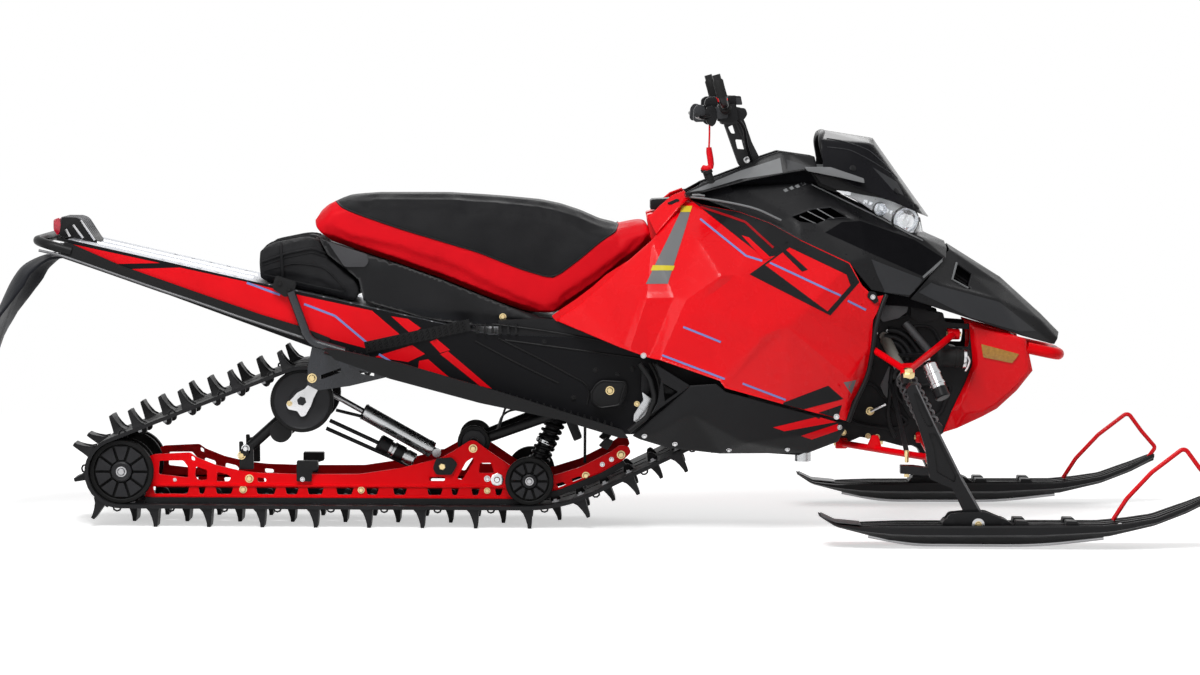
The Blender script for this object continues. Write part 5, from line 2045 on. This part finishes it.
# ---- Steering post and riser
# A steel post leans back out of the console. Two forged riser plates with windows are clamped to it and
# lift the handlebar.
STEER_TOP = (0.415, 1.112)
STEER_BASE = (0.461, 0.998)
post_way = Vector((STEER_BASE[0] - STEER_TOP[0], 0, STEER_BASE[1] - STEER_TOP[1])).normalized()
post_side = Vector((-post_way.z, 0, post_way.x))


def by_post(down, back):
    """Side-view place from the riser's top: distance down the post and behind it."""
    p = Vector((STEER_TOP[0], 0, STEER_TOP[1])) + post_way * down + post_side * back
    return p.x, p.z


riser_black = moulded("riser black", (0.010, 0.010, 0.011), rough=0.3, mottle=0.1, metal=0.5, grain=900,
                      depth=0.0001)
bm = bmesh.new()
RISER = [by_post(d, b) for d, b in ((-0.019, -0.026), (-0.028, 0.026), (0.015, 0.0285), (0.073, 0.0256),
                                    (0.1315, 0.031), (0.1375, -0.020), (0.117, -0.031), (0.060, -0.029))]
RISER_CUTS = [
    [by_post(d, b) for d, b in ((0.010, -0.020), (0.0098, -0.005), (0.036, -0.007), (0.030, -0.018))],
    [by_post(d, b) for d, b in ((0.049, -0.014), (0.058, 0.004), (0.086, 0.002), (0.076, -0.018))]]
slab(bm, RISER, 0.026, 0.034, RISER_CUTS, radius=0.006, cut_radius=0.004)
sweep_round(bm, at_side([by_post(-0.020, 0.004), by_post(0.130, 0.010)], 0.034), 0.0035, 8)
turned(bm, at_side([by_post(0.1134, -0.0048)], 0.034)[0], (0, -1, 0),
       [(0, 0.0095), (0.003, 0.0095), (0.004, 0.0085), (0.004, 0.003), (0.002, 0.0)], 24, 1)
CLAMP = [(0.380, 1.102), (0.378, 1.140), (0.392, 1.147), (0.414, 1.147), (0.428, 1.138), (0.434, 1.106)]
slab(bm, CLAMP, 0.030, 0.060, radius=0.006, edge=0.002)
for at in at_side([(0.390, 1.1445), (0.415, 1.1445)], 0.045):
    turned(bm, at, (0, 0, 1), [(0, 0.006), (0.005, 0.006), (0.006, 0.004), (0.006, 0)], 16, 1)
mirrored(bm)
top = Vector((STEER_TOP[0], 0, STEER_TOP[1]))
turned(bm, top + post_way * 0.110, post_way, [(0, 0), (0, 0.022), (0.220, 0.022), (0.220, 0)], 32)
slab(bm, [by_post(0.112, -0.020), by_post(0.112, 0.020), by_post(0.124, 0.020), by_post(0.124, -0.020)],
     -0.030, 0.030, edge=0.002)
finished(bm, "post_and_riser", [riser_black, bright_zinc], body="handlebar",
         stands_for=["steering_post"])

# ---- Handlebar, grips and controls
# A bent aluminium bar with hooked ends, clamped in the riser, with ribbed rubber grips pushed over it. Each
# side has a switch block, a lever and a red button.
recoat(riser_black, "handlebar")
bm = bmesh.new()
GRIP_RIBS = 11
RIB_STEP = 0.0072
inner, outer = Vector((0.3873, -0.225, 1.147)), Vector((0.381, -0.312, 1.156))
way = outer - inner
profile = [(0, 0.011), (0, 0.0165), (0.004, 0.0168)]
for k in range(GRIP_RIBS):
    profile += [(along + RIB_STEP * k, r) for along, r in ((0.006, 0.0150), (0.0075, 0.0140),
                                                           (0.0105, 0.0140), (0.012, 0.0150))]
profile += [(0.0870, 0.0160), (0.0875, 0.011)]
turned(bm, inner, way, profile, 28)
inner, outer = Vector((0.3728, -0.352, 1.178)), Vector((0.3565, -0.352, 1.2380))
way = outer - inner
turned(bm, inner, way, [(0, 0.011), (0, 0.0138), (0.002, 0.0143), (0.024, 0.0139), (0.044, 0.0143),
                        (0.0482, 0.0120), (0.0482, 0)], 28)
mirrored(bm)
finished(bm, "grip_rubbers", [rubber_black], body="handlebar", stands_for=["grips"])
bm = bmesh.new()
# Housings: side outline, from and to across, corner radius, finish
HOUSINGS = [
    ([(0.367, 1.157), (0.416, 1.160), (0.422, 1.115), (0.400, 1.108), (0.366, 1.112)],
     0.120, 0.196, 0.006, 0),
    ([(0.332, 1.142), (0.338, 1.153), (0.352, 1.154), (0.362, 1.146), (0.362, 1.108), (0.351, 1.097),
      (0.340, 1.104), (0.332, 1.118)],
     0.186, 0.216, 0.010, 0),
    ([(0.360, 1.152), (0.392, 1.153), (0.394, 1.121), (0.360, 1.118)], 0.186, 0.210, 0.008, 3),
    ([(0.302, 1.146), (0.312, 1.158), (0.327, 1.156), (0.333, 1.143), (0.333, 1.111), (0.305, 1.110),
      (0.300, 1.118)],
     0.176, 0.210, 0.006, 3),
    ([(0.332, 1.170), (0.343, 1.178), (0.360, 1.178), (0.366, 1.170), (0.366, 1.154), (0.331, 1.153)],
     0.150, 0.196, 0.005, 0),
    ([(0.392, 1.157), (0.394, 1.181), (0.429, 1.181), (0.434, 1.157)], 0.135, 0.180, 0.004, 0),
    ([(0.415, 1.177), (0.430, 1.176), (0.432, 1.158), (0.417, 1.158)], 0.180, 0.184, 0.003, 3),
    ([(0.409, 1.151), (0.442, 1.148), (0.448, 1.132), (0.438, 1.116), (0.407, 1.120)],
     0.130, 0.178, 0.006, 0),
    ([(0.372, 1.175), (0.393, 1.175), (0.393, 1.162), (0.372, 1.162)], 0.196, 0.218, 0.003, 1)]
for outline, start, end, corner, finish in HOUSINGS:
    slab(bm, outline, start, end, radius=corner, edge=0.003, material=finish)
# Lever from the block backward and outward, and the thin hose that runs down into the console
sweep_round(bm, eased([(0.352, -0.205, 1.128), (0.318, -0.232, 1.122), (0.308, -0.300, 1.126),
                       (0.306, -0.335, 1.130)]), 0.006, 12, 2)
sweep_round(bm, eased([(0.408, -0.160, 1.130), (0.440, -0.130, 1.100), (0.450, -0.080, 1.040),
                       (0.470, -0.060, 0.990)]), 0.0045, 10)
mirrored(bm)
finished(bm, "control_blocks", [panel_black, tether_red, riser_black, hood_grey], body="handlebar",
         stands_for=["switch_blocks"])

# ---- Tie rods
# Round steel rods with gold-plated ball ends, screwed into the steering rack. They run out to the arms on
# the spindles.
bm = bmesh.new()
turned(bm, (RACK[0], -0.124, RACK[1]), (0, 1, 0), [(0, 0), (0, 0.010), (0.248, 0.010), (0.248, 0)], 24)
rack_end, ball = Vector((RACK[0], -0.118, RACK[1])), Vector((0.866, -0.460, 0.240))
way = ball - rack_end
length = way.length
turned(bm, rack_end, way, [(0, 0), (0.006, 0.007), (0.030, 0.007), (0.034, 0.0062),
                           (length - 0.050, 0.0062), (length - 0.046, 0.007), (length - 0.012, 0.0068),
                           (length, 0.005), (length, 0)], 20)
turned(bm, ball + Vector((0, 0, 0.007)), (0, 0, -1), [(0, 0), (0, 0.0065), (0.012, 0.007),
                                                      (0.020, 0.0055), (0.032, 0.0055), (0.033, 0)], 24,
       1)
mirrored(bm)
finished(bm, "steering_rods", [cast_black, gold_zinc], body="steering_link",
         stands_for=["tie_rods"])

# ---- Spindles
# Forged aluminium legs with two cast pockets on the outer face, a bright machined front edge, a castle nut
# on the upper joint and a steering arm at the back.
LEG_FOOT = (1.046, 0.540, 0.063)
LEG_THICK = 0.036
LEG_LEAN = math.radians(6.7)
LEG_SIDE = [(-0.184, 0.374), (-0.168, 0.376), (-0.110, 0.255), (-0.042, 0.123), (0.024, 0.010),
            (0.016, -0.018), (0.000, -0.025), (-0.016, -0.019), (-0.026, 0.008), (-0.068, 0.096),
            (-0.128, 0.122), (-0.141, 0.202), (-0.163, 0.268), (-0.195, 0.361)]
LEG_POCKETS = [[(-0.176, 0.352), (-0.166, 0.352), (-0.122, 0.262), (-0.138, 0.262), (-0.158, 0.300)],
               [(-0.134, 0.245), (-0.116, 0.245), (-0.060, 0.130), (-0.062, 0.112), (-0.110, 0.140),
                (-0.120, 0.205)]]
ARM_TOP = 0.208
ARM_THICK = 0.0215
JOINT_LEAN = (-0.12, 0.06, 1)
ARM_PLAN = [(0.848, 0.446), (0.848, 0.478), (0.900, 0.520), (0.985, 0.534), (0.985, 0.508),
            (0.915, 0.498), (0.884, 0.450)]


def lean_leg(bm):
    """Tips everything made so far about the ski bolt, so its top leans inward."""
    pivot = Vector((0, -LEG_FOOT[1], LEG_FOOT[2]))
    turn = Matrix.Rotation(LEG_LEAN, 4, "X")
    for vert in bm.verts:
        vert.co = turn @ (vert.co - pivot) + pivot


def leg(bm):
    """The right-hand leg: leaning blade, steering arm, joint cup and the tie rod's nut."""
    at = (LEG_FOOT[0], LEG_FOOT[2])
    outline = [(at[0] + x, at[1] + z) for x, z in LEG_SIDE]
    pockets = [[(at[0] + x, at[1] + z) for x, z in p] for p in LEG_POCKETS]
    inner, outer = LEG_FOOT[1] - LEG_THICK / 2, LEG_FOOT[1] + LEG_THICK / 2
    slab(bm, outline, inner, outer - 0.006, radius=0.004, edge=0.002)
    slab(bm, outline, outer - 0.007, outer, pockets, radius=0.004, cut_radius=0.005)
    front = [(at[0] + x, at[1] + z) for x, z in ((-0.168, 0.374), (-0.110, 0.253), (-0.042, 0.121),
                                                 (0.023, 0.010))]
    strip = front + [(x - 0.0032, z - 0.0016) for x, z in reversed(front)]
    slab(bm, strip, outer - 0.002, outer + 0.0008, material=3)
    lean_leg(bm)
    ring = [bm.verts.new((x, -out, ARM_TOP)) for x, out in ARM_PLAN]
    low = [bm.verts.new((x, -out, ARM_TOP - ARM_THICK)) for x, out in ARM_PLAN]
    bm.faces.new(ring)
    bm.faces.new(list(reversed(low)))
    for k in range(len(ring)):
        bm.faces.new((ring[k - 1], ring[k], low[k], low[k - 1]))
    top = Vector((UPPER_BALL[0] - 0.002, -UPPER_BALL[1] - 0.010, UPPER_BALL[2] - 0.030))
    turned(bm, top, JOINT_LEAN, [(0, 0), (0, 0.012), (0.004, 0.014), (0.026, 0.014), (0.028, 0.010)], 24)
    turned(bm, (0.866, -0.460, ARM_TOP - 0.032), (0, 0, 1),
           [(0, 0), (0, 0.007), (0.008, 0.007), (0.009, 0.010), (0.0105, 0.010)], 6, 2)
    castle = Vector((UPPER_BALL[0] - 0.002, -UPPER_BALL[1] - 0.006, UPPER_BALL[2] - 0.006))
    turned(bm, castle, JOINT_LEAN, [(0, 0.012), (0.001, 0.0125), (0.008, 0.0125), (0.008, 0)], 6, 2)


def to_left(bm):
    """Turns a right-hand piece into its left-hand twin."""
    for vert in bm.verts:
        vert.co.y = -vert.co.y
    bmesh.ops.reverse_faces(bm, faces=bm.faces[:])


forged_black = moulded("forged black", (0.011, 0.011, 0.012), rough=0.36, mottle=0.15, grain=500,
                       depth=0.0003)
for side in ("right", "left"):
    bm = bmesh.new()
    leg(bm)
    if side == "left":
        to_left(bm)
    finished(bm, "leg_" + side, [forged_black, bright_zinc, gold_zinc, worn_grey],
             body="spindle_" + side, stands_for=["spindle_" + side], sharp=35)

# ---- Skis
# Moulded black plastic skis with a keel and raised ribs, a saddle screwed on for the spindle's foot, a steel
# runner under each, and a loop of red rod through the tip.
SKI_OUT = 0.540
SKI_HALF = 0.072
SKI_TOP = [(0.629, 0.086), (0.672, 0.064), (0.738, 0.058), (0.843, 0.062), (1.000, 0.063),
           (1.200, 0.065), (1.370, 0.066), (1.439, 0.073), (1.512, 0.085), (1.599, 0.118),
           (1.662, 0.146)]
SKI_FLOOR = [(0.629, 0.080), (0.672, 0.052), (0.749, 0.032), (0.814, 0.016), (0.872, 0.010),
             (1.000, 0.009), (1.210, 0.010), (1.396, 0.030), (1.512, 0.058), (1.599, 0.092),
             (1.665, 0.126)]
SKI_WIDE = [(0.629, 0.040), (0.640, 0.056), (0.760, SKI_HALF), (1.420, SKI_HALF), (1.580, 0.054),
            (1.640, 0.034), (1.667, 0.018)]


# Across one half, from the middle to the edge: share of the half width, height share (0 floor, 1 top)
SKI_ACROSS_TOP = [(0.0, 0.80), (0.16, 0.80), (0.20, 0.98), (0.32, 0.98), (0.36, 0.62), (0.74, 0.58),
                  (0.80, 0.98), (0.94, 1.0), (1.0, 0.90)]
SKI_ACROSS_LOW = [(1.0, 0.70), (0.97, 0.55), (0.80, 0.46), (0.50, 0.40), (0.30, 0.30), (0.16, 0.05),
                  (0.0, 0.0)]
ski_plastic = moulded("ski plastic", (0.010, 0.010, 0.011), rough=0.42, mottle=0.15, grain=1100,
                      depth=0.0003)
rod_red = moulded("rod red paint", (0.80, 0.002, 0.008), rough=0.28, mottle=0.06, grain=700,
                  depth=0.0001, coat=0.12)
STATIONS = 84
SKI_RUNNER = [(0.760, 0.028), (0.874, 0.006), (1.210, 0.006), (1.380, 0.026)]
SADDLE = [(0.950, 0.060), (0.972, 0.091), (1.020, 0.096), (1.067, 0.096), (1.110, 0.078), (1.140, 0.062)]
SADDLE_WALL = 0.0095
STEPS = [[(0.950, 0.064), (0.960, 0.076), (0.985, 0.078), (0.985, 0.060)],
         [(1.108, 0.060), (1.108, 0.080), (1.122, 0.074), (1.138, 0.062)]]
CLEAT = [(-0.018, 0.062), (-0.016, 0.076), (0.012, 0.0755), (0.019, 0.064)]
TAIL_CAP = [(0.633, 0.080), (0.672, 0.066), (0.738, 0.060), (0.738, 0.063), (0.672, 0.069), (0.636, 0.086)]
half_ring = SKI_ACROSS_TOP + SKI_ACROSS_LOW
ring_shape = half_ring + [(-s, h) for s, h in reversed(half_ring[1:-1])]
for side in ("right", "left"):
    bm = bmesh.new()
    rings = []
    for k in range(STATIONS + 1):
        x = SKI_WIDE[0][0] + (SKI_WIDE[-1][0] - SKI_WIDE[0][0]) * k / STATIONS
        top, low, wide = between(SKI_TOP, x), between(SKI_FLOOR, x), between(SKI_WIDE, x)
        rings.append([bm.verts.new((x, -SKI_OUT + s * wide, low + (top - low) * h)) for s, h in ring_shape])
    for a, b in zip(rings[:-1], rings[1:]):
        for k in range(len(a)):
            bm.faces.new((a[k], a[(k + 1) % len(a)], b[(k + 1) % len(a)], b[k]))
    bm.faces.new(rings[0])
    bm.faces.new(list(reversed(rings[-1])))
    # Steel runner, saddle cheeks with their bolt, cleats, and the tail's metal cap
    sweep_round(bm, eased(at_side(SKI_RUNNER, SKI_OUT)), 0.0058, 12, 1)
    for out in (0.5145, 0.5655):
        slab(bm, SADDLE, out, out + SADDLE_WALL, radius=0.006, edge=0.002)
    for step in STEPS:
        slab(bm, step, 0.504, 0.576, radius=0.003, edge=0.002)
    turned(bm, (1.046, -0.5755, 0.063), (0, -1, 0), [(0, 0.0165), (0.002, 0.0165), (0.0025, 0.0145),
                                                     (0.0025, 0.008)], 28, 3)
    screw(bm, (1.046, -0.577, 0.063), material=2, scale=1.0)
    turned(bm, (1.046, -0.576, 0.063), (0, 1, 0), [(0, 0.0078), (0.072, 0.0078)], 16, 2)
    for x in (1.159, 1.291):
        for out in (0.556, 0.480):
            slab(bm, [(x + along, z) for along, z in CLEAT], out, out + 0.044, radius=0.003, edge=0.0015)
    slab(bm, TAIL_CAP, 0.500, 0.580, edge=0.001, material=4)
    screw(bm, (1.415, -0.600, 0.064), material=3, scale=0.9)
    if side == "left":
        to_left(bm)
    finished(bm, "ski_body_" + side, [ski_plastic, steel, gold_zinc, bright_zinc, worn_grey],
             body="ski_" + side, stands_for=["ski_" + side], sharp=35)
    recoat(rod_red, "ski_loop_" + side)
